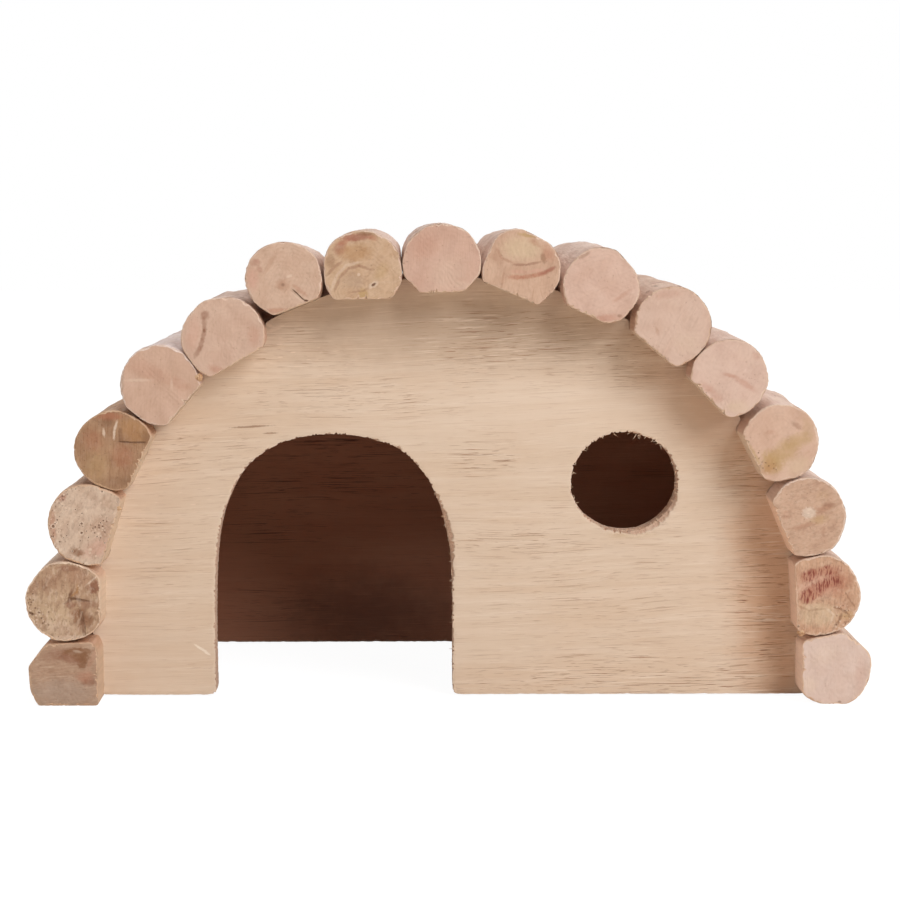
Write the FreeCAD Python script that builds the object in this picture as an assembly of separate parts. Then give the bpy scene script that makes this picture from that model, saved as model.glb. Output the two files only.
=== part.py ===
# Wooden hamster house: two plywood panels under an arch of debarked branch logs.
#
# X runs to the right, Y from the front to the back, Z up, in millimetres. The origin is on the
# floor, in the middle of the house's width and depth. There is no floor board: the panels and
# the two foot logs stand on the floor themselves.
import FreeCAD, Part
import math
import os

# Panels, the front and the rear one cut to the same round-shouldered outline
panel_width = 168.4       # across the two upright legs
panel_thickness = 9.0
leg_height = 18.2         # upright stretch of the edge, under each round shoulder
crown_flat = 6.4          # straight stretch on top, between the two shoulders

# Doorway in the front panel: upright jambs under a half circle, open at the floor
door_inset = 27.0         # wood left between the panel's left edge and the doorway
door_width = 58.2
door_height = 64.0
door_corner = 2.0         # sanded corner at the foot of each jamb

# Round window, in the middle of the wood on the right of the doorway
window_diameter = 25.8
window_drop = 0.0         # from the doorway's top down to the window's top

# Logs, each flattened lengthways where it sits on the panels. Their usual diameter, 18.8 here,
# is the one with which they just fill the arch from the left foot to the right one.
log_length = 120.0
eaves = 12.8              # the logs' overhang in front of the front panel and behind the rear one
seat_depth = 2.6          # the usual depth of the flat a log sits on
foot_depth = 0.6          # depth of the flat under the two foot logs
log_gap = 0.16            # between neighbouring logs
end_ease = 0.5            # sanded edge round each sawn end

# Branches differ: what is added to the usual diameter and seat depth, from the left foot on
branch_differences = (
    (-2.2, -1.6), (-0.2, -1.0), (0.0, 1.0), (-0.4, -0.4), (-0.2, -0.6), (0.4, 1.4),
    (-1.0, -1.9), (-0.2, 0.4), (0.4, 1.0), (-0.2, 1.2), (0.4, 0.4), (0.2, -0.2),
    (0.0, 0.0), (0.0, -0.2), (0.6, 1.6), (0.0, 1.4), (-0.8, -0.8),
)

# Headless steel pins, driven through every log into the edge of each panel
pin_diameter = 1.2
pin_length = 25.0
pin_sink = 0.5            # how far a pin is punched below the log's surface

# Worked out from the sizes above
half_width = panel_width / 2
shoulder_radius = half_width - crown_flat / 2
shoulder_x = crown_flat / 2
panel_height = leg_height + shoulder_radius
panel_y = log_length / 2 - eaves - panel_thickness / 2    # from the middle to a panel's middle
door_left = -half_width + door_inset
door_right = door_left + door_width
door_radius = door_width / 2
jamb_height = door_height - door_radius
window_x = (door_right + half_width) / 2
window_z = door_height - window_drop - window_diameter / 2
shoulder_run = math.pi / 2 * shoulder_radius              # length of a panel's edge over a shoulder
arch_run = 2 * leg_height + 2 * shoulder_run + crown_flat
log_share = arch_run / len(branch_differences)            # of the panel's edge, per log
cut_margin = 1.0          # how far a cutting shape runs past what it cuts
solve_step = 1e-9         # a solved length is exact to this

X_AXIS = FreeCAD.Vector(1, 0, 0)
Y_AXIS = FreeCAD.Vector(0, 1, 0)
Z_AXIS = FreeCAD.Vector(0, 0, 1)


def at(x, z, y=0):
    return FreeCAD.Vector(x, y, z)


def line(start, end):
    return Part.makeLine(start, end)


def arc(start, through, end):
    return Part.Arc(start, through, end).toShape()


def around(centre, radius, degrees):
    """Point on a circle in the XZ plane, with degrees counted from +X towards +Z."""
    angle = math.radians(degrees)
    return centre + at(radius * math.cos(angle), radius * math.sin(angle))


def first_past(low, high, is_past):
    """The length between low and high from which on is_past holds."""
    while high - low > solve_step:
        middle = (low + high) / 2
        if is_past(middle):
            high = middle
        else:
            low = middle
    return high


class Branch:
    """One log: its radius, its seat, and where it lies once it is placed on the arch."""

    def __init__(self, usual_diameter, more_diameter, more_depth):
        self.radius = (usual_diameter + more_diameter) / 2
        self.seat = self.radius - seat_depth - more_depth     # from its axis to its seat flat
        self.foot = self.radius - foot_depth                  # from its axis to its foot flat

    def place(self, run):
        self.axis, self.outward = arch_place(run, self.seat)


def arch_place(run, rise):
    """Point rise outside the panel's edge, and the way out of the panel there.

    The run is the length of edge up the left leg, over the shoulders and down the right leg.
    """
    if run < leg_height:
        return at(-half_width - rise, run), -X_AXIS
    run -= leg_height
    if run < shoulder_run:
        outward = around(at(0, 0), 1, 180 - math.degrees(run / shoulder_radius))
        return at(-shoulder_x, leg_height) + outward * (shoulder_radius + rise), outward
    run -= shoulder_run
    if run < crown_flat:
        return at(run - shoulder_x, panel_height + rise), Z_AXIS
    run -= crown_flat
    if run < shoulder_run:
        outward = around(at(0, 0), 1, 90 - math.degrees(run / shoulder_radius))
        return at(shoulder_x, leg_height) + outward * (shoulder_radius + rise), outward
    run -= shoulder_run
    return at(half_width + rise, leg_height - run), X_AXIS


def log_runs(branches):
    """Runs of the logs, laid log_gap apart from the left foot on."""
    runs = [branches[0].foot]
    for last, branch in zip(branches, branches[1:]):
        last_axis = arch_place(runs[-1], last.seat)[0]
        spacing = last.radius + branch.radius + log_gap

        def is_clear(run):
            return arch_place(run, branch.seat)[0].distanceToPoint(last_axis) > spacing

        runs.append(first_past(runs[-1], runs[-1] + 2 * spacing, is_clear))
    return runs


def cut_branches(usual_diameter):
    return [Branch(usual_diameter, *difference) for difference in branch_differences]


def is_overfull(usual_diameter):
    """True if the last log would end up lower than its place as the right foot."""
    branches = cut_branches(usual_diameter)
    return log_runs(branches)[-1] > arch_run - branches[-1].foot


def lay_logs():
    """Logs of the size that just fills the arch, each in its place."""
    branches = cut_branches(first_past(log_share / 2, log_share * 2, is_overfull))
    for branch, run in zip(branches, log_runs(branches)):
        branch.place(run)
    return branches


def make_pin(branch, y, recess=0):
    """Pin through a log into a panel's edge; a recess carries its hole on out of the log."""
    top = branch.axis + branch.outward * (branch.radius - pin_sink + recess) + Y_AXIS * y
    return Part.makeCylinder(pin_diameter / 2, pin_length + recess, top, -branch.outward)


def make_pin_hole(branch, y):
    return make_pin(branch, y, pin_sink + cut_margin)


def make_log(branch):
    """Branch with its seat flat along one side, its ends eased and its pin holes drilled."""
    half_seat = math.sqrt(branch.radius ** 2 - branch.seat ** 2)
    left = at(-half_seat, -branch.seat)
    right = at(half_seat, -branch.seat)
    section = Part.Wire([arc(left, at(0, branch.radius), right), line(right, left)])
    log = Part.Face(section).extrude(Y_AXIS * log_length)
    ends = [edge for edge in log.Edges if edge.BoundBox.YLength < end_ease]
    log = log.makeChamfer(end_ease, ends)
    turn = math.degrees(math.atan2(branch.outward.x, branch.outward.z))
    log.rotate(at(0, 0), Y_AXIS, turn)
    log.translate(branch.axis - Y_AXIS * (log_length / 2))
    for y in (-panel_y, panel_y):
        log = log.cut(make_pin_hole(branch, y))
    return log


def make_foot_log(branch):
    """A log flattened underneath as well, where it stands on the floor."""
    size = 2 * branch.radius
    below = branch.axis - at(branch.radius, branch.foot + size, log_length / 2 + cut_margin)
    return make_log(branch).cut(Part.makeBox(size, log_length + 2 * cut_margin, size, below))


def arch_edges():
    """The panel's edge from the left foot over the arch to the right foot."""
    left_centre = at(-shoulder_x, leg_height)
    right_centre = at(shoulder_x, leg_height)
    left_spring = around(left_centre, shoulder_radius, 180)
    left_crown = around(left_centre, shoulder_radius, 90)
    right_crown = around(right_centre, shoulder_radius, 90)
    right_spring = around(right_centre, shoulder_radius, 0)
    return [
        line(at(-half_width, 0), left_spring),
        arc(left_spring, around(left_centre, shoulder_radius, 135), left_crown),
        line(left_crown, right_crown),
        arc(right_crown, around(right_centre, shoulder_radius, 45), right_spring),
        line(right_spring, at(half_width, 0)),
    ]


def doorway_edges():
    """The bottom edge from the right foot to the left one, up and over the doorway."""
    head = at(door_left + door_radius, jamb_height)
    right_corner = at(door_right + door_corner, door_corner)
    left_corner = at(door_left - door_corner, door_corner)
    right_toe = around(right_corner, door_corner, 270)
    right_jamb = around(right_corner, door_corner, 180)
    left_jamb = around(left_corner, door_corner, 0)
    left_toe = around(left_corner, door_corner, 270)
    return [
        line(at(half_width, 0), right_toe),
        arc(right_toe, around(right_corner, door_corner, 225), right_jamb),
        line(right_jamb, at(door_right, jamb_height)),
        arc(at(door_right, jamb_height), around(head, door_radius, 90), at(door_left, jamb_height)),
        line(at(door_left, jamb_height), left_jamb),
        arc(left_jamb, around(left_corner, door_corner, 315), left_toe),
        line(left_toe, at(-half_width, 0)),
    ]


def make_panel(bottom_edges, y, branches):
    """Panel of the arch outline over the given bottom edges, with its pin holes drilled."""
    front_face = Y_AXIS * (y - panel_thickness / 2)
    panel = Part.Face(Part.Wire(arch_edges() + bottom_edges))
    panel = panel.extrude(Y_AXIS * panel_thickness)
    panel.translate(front_face)
    return panel.cut(Part.makeCompound([make_pin_hole(branch, y) for branch in branches]))


def make_front_panel(branches):
    window_start = at(window_x, window_z, -panel_y - panel_thickness / 2 - cut_margin)
    window = Part.makeCylinder(
        window_diameter / 2, panel_thickness + 2 * cut_margin, window_start, Y_AXIS)
    return make_panel(doorway_edges(), -panel_y, branches).cut(window)


def make_rear_panel(branches):
    return make_panel([line(at(half_width, 0), at(-half_width, 0))], panel_y, branches)


def make_pins(branches, y):
    return Part.makeCompound([make_pin(branch, y) for branch in branches])


def make_house():
    """All nodes by name."""
    branches = lay_logs()
    house = {
        "front_panel": make_front_panel(branches),
        "rear_panel": make_rear_panel(branches),
        "front_pins": make_pins(branches, -panel_y),
        "rear_pins": make_pins(branches, panel_y),
    }
    for number, branch in enumerate(branches, 1):
        is_foot = branch in (branches[0], branches[-1])
        make = make_foot_log if is_foot else make_log
        house[f"roof_log_{number:02d}"] = make(branch)

    # The widest logs on the two sides stand out by different amounts: centre the whole
    left_reach = max(branch.radius - branch.axis.x for branch in branches)
    right_reach = max(branch.radius + branch.axis.x for branch in branches)
    for shape in house.values():
        shape.translate(X_AXIS * ((left_reach - right_reach) / 2))
    return house


def write_steps(house):
    os.makedirs("parts", exist_ok=True)
    for node, shape in house.items():
        shape.exportStep(f"parts/{node}.step")
        print(node, len(shape.Solids), "solids", round(shape.Volume), "mm3")


write_steps(make_house())
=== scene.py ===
import math

import bmesh
import bpy
import numpy as np
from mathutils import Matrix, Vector, geometry


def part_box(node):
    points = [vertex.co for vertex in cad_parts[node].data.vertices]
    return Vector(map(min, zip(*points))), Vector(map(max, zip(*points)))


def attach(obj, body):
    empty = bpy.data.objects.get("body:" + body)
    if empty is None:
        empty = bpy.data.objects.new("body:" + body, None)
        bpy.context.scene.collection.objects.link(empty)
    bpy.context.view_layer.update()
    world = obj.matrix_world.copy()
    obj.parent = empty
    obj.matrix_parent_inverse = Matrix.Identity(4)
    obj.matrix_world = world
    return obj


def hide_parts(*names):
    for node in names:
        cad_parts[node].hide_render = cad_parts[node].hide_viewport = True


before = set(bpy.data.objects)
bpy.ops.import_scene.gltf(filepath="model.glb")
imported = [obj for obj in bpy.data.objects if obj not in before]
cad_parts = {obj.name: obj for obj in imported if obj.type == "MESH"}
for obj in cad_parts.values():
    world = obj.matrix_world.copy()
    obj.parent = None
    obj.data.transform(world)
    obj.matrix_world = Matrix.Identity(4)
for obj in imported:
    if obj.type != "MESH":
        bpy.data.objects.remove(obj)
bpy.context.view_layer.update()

mm = 0.001
pi = math.pi
work = {}     # holds the node tree that is being built


def paint(red, green, blue):
    # a colour as a user picks it, 0 to 255 a channel, turned into scene values
    linear = []
    for part in (red, green, blue):
        share = part / 255
        linear.append(share / 12.92 if share <= 0.04045 else ((share + 0.055) / 1.055) ** 2.4)
    return (*linear, 1.0)


def plug(socket, value):
    if isinstance(value, bpy.types.NodeSocket):
        work["tree"].links.new(value, socket)
    else:
        socket.default_value = value


def put(kind, inputs=None, **settings):
    # a node with its settings and its inputs, each a plain value or another node's output
    node = work["tree"].nodes.new("ShaderNode" + kind)
    for name, value in settings.items():
        setattr(node, name, value)
    for name, value in (inputs or {}).items():
        plug(node.inputs[name], value)
    return node


def calc(operation, *values):
    node = put("Math", operation=operation)
    for socket, value in zip(node.inputs, values):
        plug(socket, value)
    return node.outputs[0]


def plus(first, second):
    return calc("ADD", first, second)


def minus(first, second):
    return calc("SUBTRACT", first, second)


def times(first, second):
    return calc("MULTIPLY", first, second)


def over(first, second):
    return calc("DIVIDE", first, second)


def sloped(value, slope, start):
    return calc("MULTIPLY_ADD", value, slope, start)


def vecCalc(operation, *values, scale=None):
    node = put("VectorMath", operation=operation)
    for socket, value in zip(node.inputs, values):
        plug(socket, value)
    if scale is not None:
        plug(node.inputs["Scale"], scale)
    return node.outputs["Value" if operation in ("LENGTH", "DOT_PRODUCT") else "Vector"]


def axesOf(place):
    return put("SeparateXYZ", {"Vector": place}).outputs


def spotAt(x, y, z):
    return put("CombineXYZ", {"X": x, "Y": y, "Z": z}).outputs[0]


def rotated(place, angle):
    # a place turned about Y
    return put("VectorRotate", {"Vector": place, "Angle": angle}, rotation_type="Y_AXIS").outputs[0]


def noiseAt(place, detail, roughness=0.5):
    return put("TexNoise", {"Vector": place, "Scale": 1, "Detail": detail,
                            "Roughness": roughness}).outputs[0]


def blend(share, under, over):
    return put("Mix", {0: share, 6: under, 7: over}, data_type="RGBA").outputs[2]


def ramp(value, low, high):
    # 0 at low, 1 at high, smooth between
    return put("MapRange", {"Value": value, "From Min": low, "From Max": high},
               interpolation_type="SMOOTHSTEP").outputs["Result"]


def startGroup(name, inputs, outputs):
    # inputs come with their usual values, None for a place; every output is a number
    tree = bpy.data.node_groups.new(name, "ShaderNodeTree")
    for label, value in inputs.items():
        kind = "NodeSocketVector" if value is None else "NodeSocketFloat"
        socket = tree.interface.new_socket(name=label, in_out="INPUT", socket_type=kind)
        if value is not None:
            socket.default_value = value
    for label in outputs:
        tree.interface.new_socket(name=label, in_out="OUTPUT", socket_type="NodeSocketFloat")
    work["tree"] = tree
    return tree.nodes.new("NodeGroupInput").outputs, tree.nodes.new("NodeGroupOutput").inputs


def useGroup(group, **values):
    return put("Group", values, node_tree=group).outputs


# shared effects; every one takes a place in millimetres

def makeStreaks():
    # long soft streaks along X, as a value and as a mask of the strongest ones
    given, out = startGroup("Wood streaks", {
        "Place": None, "Length": 20, "Width": 0.6, "Waviness": 1, "Threshold": 0.6,
        "Softness": 0.05, "Seed": 0}, ("Value", "Mask"))
    slow = noiseAt(vecCalc("MULTIPLY", given["Place"], (0.018, 0.05, 0.05)), 1)
    drift = times(minus(slow, 0.5), given["Waviness"])
    axes = axesOf(given["Place"])
    along = plus(over(axes["X"], given["Length"]), given["Seed"])
    deep = over(axes["Y"], given["Width"])
    across = over(plus(axes["Z"], drift), given["Width"])
    noise = noiseAt(spotAt(along, deep, across), 2.5, 0.55)
    plug(out["Value"], noise)
    high = plus(given["Threshold"], given["Softness"])
    plug(out["Mask"], ramp(noise, given["Threshold"], high))
    return work["tree"]


def makeBlotches():
    given, out = startGroup("Blotches", {
        "Place": None, "Size": 5, "Low": 0.4, "High": 0.6, "Seed": 0}, ("Value", "Mask"))
    moved = spotAt(times(given["Seed"], 37), 0, times(given["Seed"], 19))
    shifted = vecCalc("ADD", given["Place"], moved)
    noise = noiseAt(vecCalc("SCALE", shifted, scale=over(1, given["Size"])), 3, 0.6)
    plug(out["Value"], noise)
    plug(out["Mask"], ramp(noise, given["Low"], given["High"]))
    return work["tree"]


def makeSpecks():
    # small dots of uneven size, dark pits or pale flecks
    given, out = startGroup("Specks", {
        "Place": None, "Spacing": 1.5, "Size": 0.3, "Amount": 0.3, "Seed": 0}, ("Mask",))
    spot = vecCalc("SCALE", given["Place"], scale=over(1, given["Spacing"]))
    moved = vecCalc("ADD", spot, spotAt(times(given["Seed"], 17), given["Seed"], 0))
    cells = put("TexVoronoi", {"Vector": moved, "Scale": 1, "Randomness": 1}).outputs
    chance = put("SeparateColor", {"Color": cells["Color"]}).outputs
    kept = calc("LESS_THAN", chance["Red"], given["Amount"])
    reach = times(given["Size"], sloped(chance["Green"], 0.8, 0.4))
    plug(out["Mask"], times(ramp(cells["Distance"], reach, times(reach, 0.6)), kept))
    return work["tree"]


def makePatch():
    # one soft ragged spot: half length, half height, and a turn about Y
    given, out = startGroup("Patch", {
        "Place": None, "Centre": None, "Long": 2, "High": 1, "Turn": 0, "Softness": 0.5,
        "Ragged": 0.6, "Grain": 1}, ("Mask",))
    moved = vecCalc("SUBTRACT", given["Place"], given["Centre"])
    axes = axesOf(rotated(moved, given["Turn"]))
    scaled = spotAt(over(axes["X"], given["Long"]), over(axes["Y"], 4),
                    over(axes["Z"], given["High"]))
    noise = noiseAt(vecCalc("SCALE", given["Place"], scale=given["Grain"]), 3, 0.65)
    wobble = times(minus(noise, 0.5), times(given["Ragged"], 2))
    reach = plus(vecCalc("LENGTH", scaled), wobble)
    plug(out["Mask"], ramp(reach, plus(1, given["Softness"]), minus(1, given["Softness"])))
    return work["tree"]


def makeRings():
    # growth rings about a pith, and rays that run out from it
    given, out = startGroup("Growth rings", {
        "Place": None, "Centre": None, "Spacing": 1.4, "Wobble": 1, "Rays": 9}, ("Ring", "Ray"))
    moved = vecCalc("MULTIPLY", vecCalc("SUBTRACT", given["Place"], given["Centre"]), (1, 0, 1))
    noise = noiseAt(vecCalc("SCALE", given["Place"], scale=0.16), 2)
    wobble = times(minus(noise, 0.5), given["Wobble"])
    away = vecCalc("LENGTH", moved)
    turn = over(plus(away, times(wobble, 4)), given["Spacing"])
    wave = calc("SINE", times(turn, 2 * pi))
    plug(out["Ring"], calc("POWER", sloped(wave, 0.5, 0.5), 2))
    axes = axesOf(moved)
    around = calc("ARCTAN2", axes["Z"], axes["X"])
    fan = spotAt(times(calc("COSINE", around), given["Rays"]),
                 times(calc("SINE", around), given["Rays"]), times(away, 0.12))
    plug(out["Ray"], ramp(noiseAt(fan, 2), 0.42, 0.62))
    return work["tree"]


def makeEdgeWear():
    # pale frayed wood along an edge; Edge is 1 on the edge and 0 away from it
    given, out = startGroup("Frayed edge", {
        "Place": None, "Edge": 0, "Reach": 0.5, "Ragged": 0.8, "Grain": 2.2}, ("Mask",))
    noise = noiseAt(vecCalc("SCALE", given["Place"], scale=given["Grain"]), 3, 0.7)
    level = plus(given["Edge"], times(minus(noise, 0.5), given["Ragged"]))
    start = minus(1, given["Reach"])
    plug(out["Mask"], ramp(level, start, plus(start, 0.25)))
    return work["tree"]


streaks, blotches, specks = makeStreaks(), makeBlotches(), makeSpecks()
patch, rings, edgeWear = makePatch(), makeRings(), makeEdgeWear()
print("shared shader groups built")


def openTree(owner):
    # an empty node tree for a material or a world, and the one to work in from here on
    owner.use_nodes = True
    work["tree"] = owner.node_tree
    work["tree"].nodes.clear()


def startMaterial(name):
    # a material whose place comes in millimetres from the piece's own origin
    material = bpy.data.materials.new(name)
    openTree(material)
    return material, vecCalc("SCALE", put("TexCoord").outputs["Object"], scale=1 / mm)


def finishMaterial(colour, roughness, height, reliefMm, specular=0.3, metallic=0, strength=1):
    bump = put("Bump", {"Strength": strength, "Distance": reliefMm * mm, "Height": height})
    shader = put("BsdfPrincipled", {
        "Base Color": colour, "Roughness": roughness, "Metallic": metallic,
        "Specular IOR Level": specular, "Normal": bump.outputs[0]})
    put("OutputMaterial", {"Surface": shader.outputs[0]})


def attribute(name):
    return put("Attribute", attribute_name=name).outputs["Fac"]


def streaksAt(place, length, width, waviness, low, soft, seed):
    return useGroup(streaks, Place=place, Length=length, Width=width, Waviness=waviness,
                    Threshold=low, Softness=soft, Seed=seed)


def blotchesAt(place, size, low, high, seed):
    return useGroup(blotches, Place=place, Size=size, Low=low, High=high, Seed=seed)


def specksAt(place, spacing, size, amount, seed):
    return useGroup(specks, Place=place, Spacing=spacing, Size=size, Amount=amount,
                    Seed=seed)["Mask"]


def markAt(place, centre, long, high, degrees, softness, ragged, grain):
    return useGroup(patch, Place=place, Centre=centre, Long=long, High=high,
                    Turn=math.radians(degrees), Softness=softness, Ragged=ragged,
                    Grain=grain)["Mask"]


def wearAt(place, reach, ragged, grain):
    # on a mesh's own edges
    return useGroup(edgeWear, Place=place, Edge=attribute("edge"), Reach=reach, Ragged=ragged,
                    Grain=grain)["Mask"]


def coat(colour, tint, mask, amount):
    # a tint laid over a colour where the mask is, so much of it
    return blend(times(mask, amount), colour, tints[tint])


packedEase = 0.5          # mm, how far behind its end a packed log is at its full radius


def readLog(node):
    # axis, radius and seat flat of a packed log, from the ring of corners behind its front end
    corners = np.array([v.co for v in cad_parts[node].data.vertices]) / mm
    front = corners[:, 1].min()
    ring = corners[np.abs(corners[:, 1] - front - packedEase) < 0.01][:, [0, 2]]
    fit = np.c_[2 * ring, np.ones(len(ring))]
    x, z, rest = np.linalg.lstsq(fit, (ring ** 2).sum(1), rcond=None)[0]
    radius = math.sqrt(rest + x * x + z * z)
    turns = np.sort(np.unique(np.arctan2(ring[:, 1] - z, ring[:, 0] - x).round(4)))
    gaps = np.diff(np.append(turns, turns[0] + 2 * pi))
    middles = np.degrees(turns + gaps / 2)
    # a foot log has a second flat, on the floor
    seats = [i for i in range(len(gaps)) if z > radius or abs(middles[i] + 90) > 10]
    seat = max(seats, key=lambda i: gaps[i])
    return {"x": x, "z": z, "radius": radius, "seatTurn": middles[seat],
            "seat": radius * math.cos(gaps[seat] / 2)}


logCount = 17
logHalf = 60.0            # mm, half a log's length
packed = {n: readLog(f"roof_log_{n:02d}") for n in range(1, logCount + 1)}

# The branches at their front ends, in mm and in degrees from +X towards +Z: how far the end
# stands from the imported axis, its radius, where its seat flat faces and lies, and further flats
# and swellings, each a direction with a distance or an amount. All of it fades towards the back.
branches = {
    1: {"shift": (-0.1, 0.1), "radius": 10.6, "touch": 7.4, "seat": (0, 7.5),
        "flats": [(94, 7.3), (143, 8.3), (184, 9), (207, 9.7), (26, 9)]},
    2: {"shift": (0.2, -0.4), "radius": 9.55, "seat": (0, 8.1), "swells": [(140, 0.3, 0.3, 0.8)]},
    3: {"shift": (0.4, -0.1), "radius": 9.7, "seat": (-17, 5.6), "swells": [(135, 0.35, 0.5, 0.8)]},
    4: {"shift": (0.3, -0.1), "radius": 9.5, "seat": (-25, 6.6)},
    5: {"shift": (0.6, 0.1), "radius": 9.45, "seat": (-40, 7.4), "flats": [(-130, 9.2)]},
    6: {"shift": (0.4, -0.2), "radius": 9.8, "seat": (-60, 6.7), "swells": [(100, -1.2, 1, 0.7)]},
    7: {"shift": (0.4, 1.9), "radius": 9, "seat": (-69, 6.8), "flats": [(-120, 8.6)],
        "swells": [(150, 0.55, 0, 0.6), (60, -0.6, 1, 0.7)]},
    8: {"shift": (0.75, 0.4), "radius": 9.45, "seat": (-89, 6.9), "flats": [(180, 9.1)],
        "swells": [(25, 1.1, 0.5, 0.35)]},
    9: {"shift": (0.7, 0.25), "radius": 9.45, "seat": (-88, 6.75),
        "flats": [(-135, 8.5), (-43, 8.3)]},
    10: {"shift": (0.35, 0.6), "radius": 9.4, "seat": (-113, 6.3),
         "flats": [(157, 8.6), (62, 8.6)]},
    11: {"shift": (0.8, 0.4), "radius": 9.05, "seat": (-115, 7.6), "flats": [(42, 8.45)],
         "swells": [(110, 0.5, 0.6, 0.5)]},
    12: {"shift": (0.4, -0.6), "radius": 9.2, "seat": (-131, 7), "swells": [(62, 0.45, 0.4, 0.8)]},
    13: {"shift": (-0.4, -0.6), "radius": 9.35, "seat": (-136, 6.6),
         "swells": [(-20, -0.3, 0, 0.8), (62, 0.4, 0.4, 0.8)]},
    14: {"shift": (0.2, -0.9), "radius": 9.25, "seat": (-153, 7.2),
         "swells": [(60, 0.35, 0.3, 0.6)]},
    15: {"shift": (0.1, -0.6), "radius": 9.45, "seat": (-157, 6.4)},
    16: {"shift": (-0.5, -0.55), "radius": 9.8, "seat": (-177, 5.9),
         "swells": [(-40, -0.35, 0, 0.8)]},
    17: {"shift": (0.5, 0.35), "radius": 9.35, "seat": (180, 7.4), "flats": [(53, 8.4)]},
}
# mm by which the upper-numbered neighbour gives way at the front ends
contacts = {(15, 16): 0.25, (16, 17): 0.65}
logShape = {
    "gap": 0.12,            # mm between neighbours
    "wander": 0.2,          # mm, how far their contact wanders along the logs
    "swing": 9.4,           # radians of that wandering over a log's length
    "corner": 0.2,          # mm, how softly the flats meet the round
    "uneven": 0.12,         # mm, slow waviness of the debarked surface
    "ridges": 0.03,         # mm, fine lengthways ridges
    "bow": 0.07,            # mm, how far a branch bends in the middle
    "full": 0.12,           # mm, how much thicker than its front end a branch is further back
    "ease": 0.3,            # mm, rounding of the sawn rim
    "fray": 0.2,            # mm, how deep the rim is nibbled
    "faceRelief": 0.07,     # mm, unevenness of a sawn end
    "tilt": 0.012,          # how far from square the ends are sawn
    "edgeFade": 1.3,        # mm, how far in from the rim the edge layer reaches
    "rimRound": 9.4,        # mm, radius of the round that the rim's waves are drawn on
    "knotHeight": 0.45,     # mm
    "columns": 190,
    "faceRings": 26, "backRings": 14, "sideRings": 34,
}
# the pits over the sunk pins in mm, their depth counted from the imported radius, and where the
# corners lie closer together: so far along the log in mm, so far about it in radians
pinHole = {"y": 42.7, "radius": 0.64, "depth": 0.9, "crush": 0.22, "dent": 0.16,
           "closeY": 1.05, "closeTurn": 0.1, "closeRows": 15}


def mix(front, back, share):
    return front + (back - front) * share


def waves(seed, points, size, count=16):
    # smooth noise of about unit strength: plane waves in seeded directions
    dice = np.random.default_rng(seed)
    points = np.asarray(points, float)
    ways = dice.normal(size=(count, points.shape[-1]))
    ways /= np.linalg.norm(ways, axis=1)[:, None]
    ways *= (2 * pi / size * dice.uniform(0.55, 1.7, count))[:, None]
    phases = dice.uniform(0, 2 * pi, count)
    return np.sin(points @ ways.T + phases).sum(-1) / math.sqrt(count / 2)


def centreAt(n, share):
    # middle of a log, share 0 at the front end and 1 at the back
    log, shift = packed[n], branches[n]["shift"]
    lean = 2.399 * n    # each branch bows its own way
    bow = logShape["bow"] * math.sin(pi * share) * math.sin(pi * share)
    return np.array([log["x"] + shift[0] * (1 - share) + bow * math.cos(lean),
                     log["z"] + shift[1] * (1 - share) + bow * math.sin(lean)])


def seatAt(n, share):
    # where the seat flat faces, in radians, and how far it lies from the middle
    turn, distance = branches[n]["seat"]
    back = packed[n]["seatTurn"]
    back += 360 * round((turn - back) / 360)
    return math.radians(mix(turn, back, share)), mix(distance, packed[n]["seat"], share)


def radiusAt(n, share, key="radius"):
    front = branches[n].get(key, branches[n]["radius"])
    full = logShape["full"] * min(1, 5 * share)
    return full + (front if n == 1 else mix(front, packed[n]["radius"], share))


def flatsAt(n, share):
    # every plane that cuts the log's round, the seat first: direction in radians and distance
    centre = centreAt(n, share)
    found = [seatAt(n, share)]
    for turn, distance in branches[n].get("flats", []):
        loose = distance if n == 1 else mix(distance, radiusAt(n, share) + 0.4, share)
        found.append((math.radians(turn), loose))
    if n in (1, logCount):
        found.append((-pi / 2, centre[1]))
    touch = radiusAt(n, share, "touch")
    for other in (n - 1, n + 1):
        if other in branches:
            way = centreAt(other, share) - centre
            apart = math.hypot(*way)
            theirs = radiusAt(other, share, "touch")
            edge = (apart ** 2 + touch ** 2 - theirs ** 2) / (2 * apart) - logShape["gap"] / 2
            pair = (min(n, other), max(n, other))
            push = contacts.get(pair, 0) * (1 - share)
            wander = math.sin(logShape["swing"] * share + pair[0])
            push += logShape["wander"] * math.sin(pi * share) * wander
            edge += push if n < other else -push
            found.append((math.atan2(way[1], way[0]), edge))
    return found


def outwardOf(n):
    # the way out of the house at a log, in radians
    return math.radians(packed[n]["seatTurn"] + 180)


def knotsOf(n):
    # where the side twigs were: direction in radians, y and width in mm
    dice = np.random.default_rng(500 + n)
    outward = outwardOf(n)
    return [(outward + dice.uniform(-0.75, 0.75), dice.uniform(-34, 48), dice.uniform(1.6, 2.7))
            for _ in range(dice.integers(1, 4))]


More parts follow.
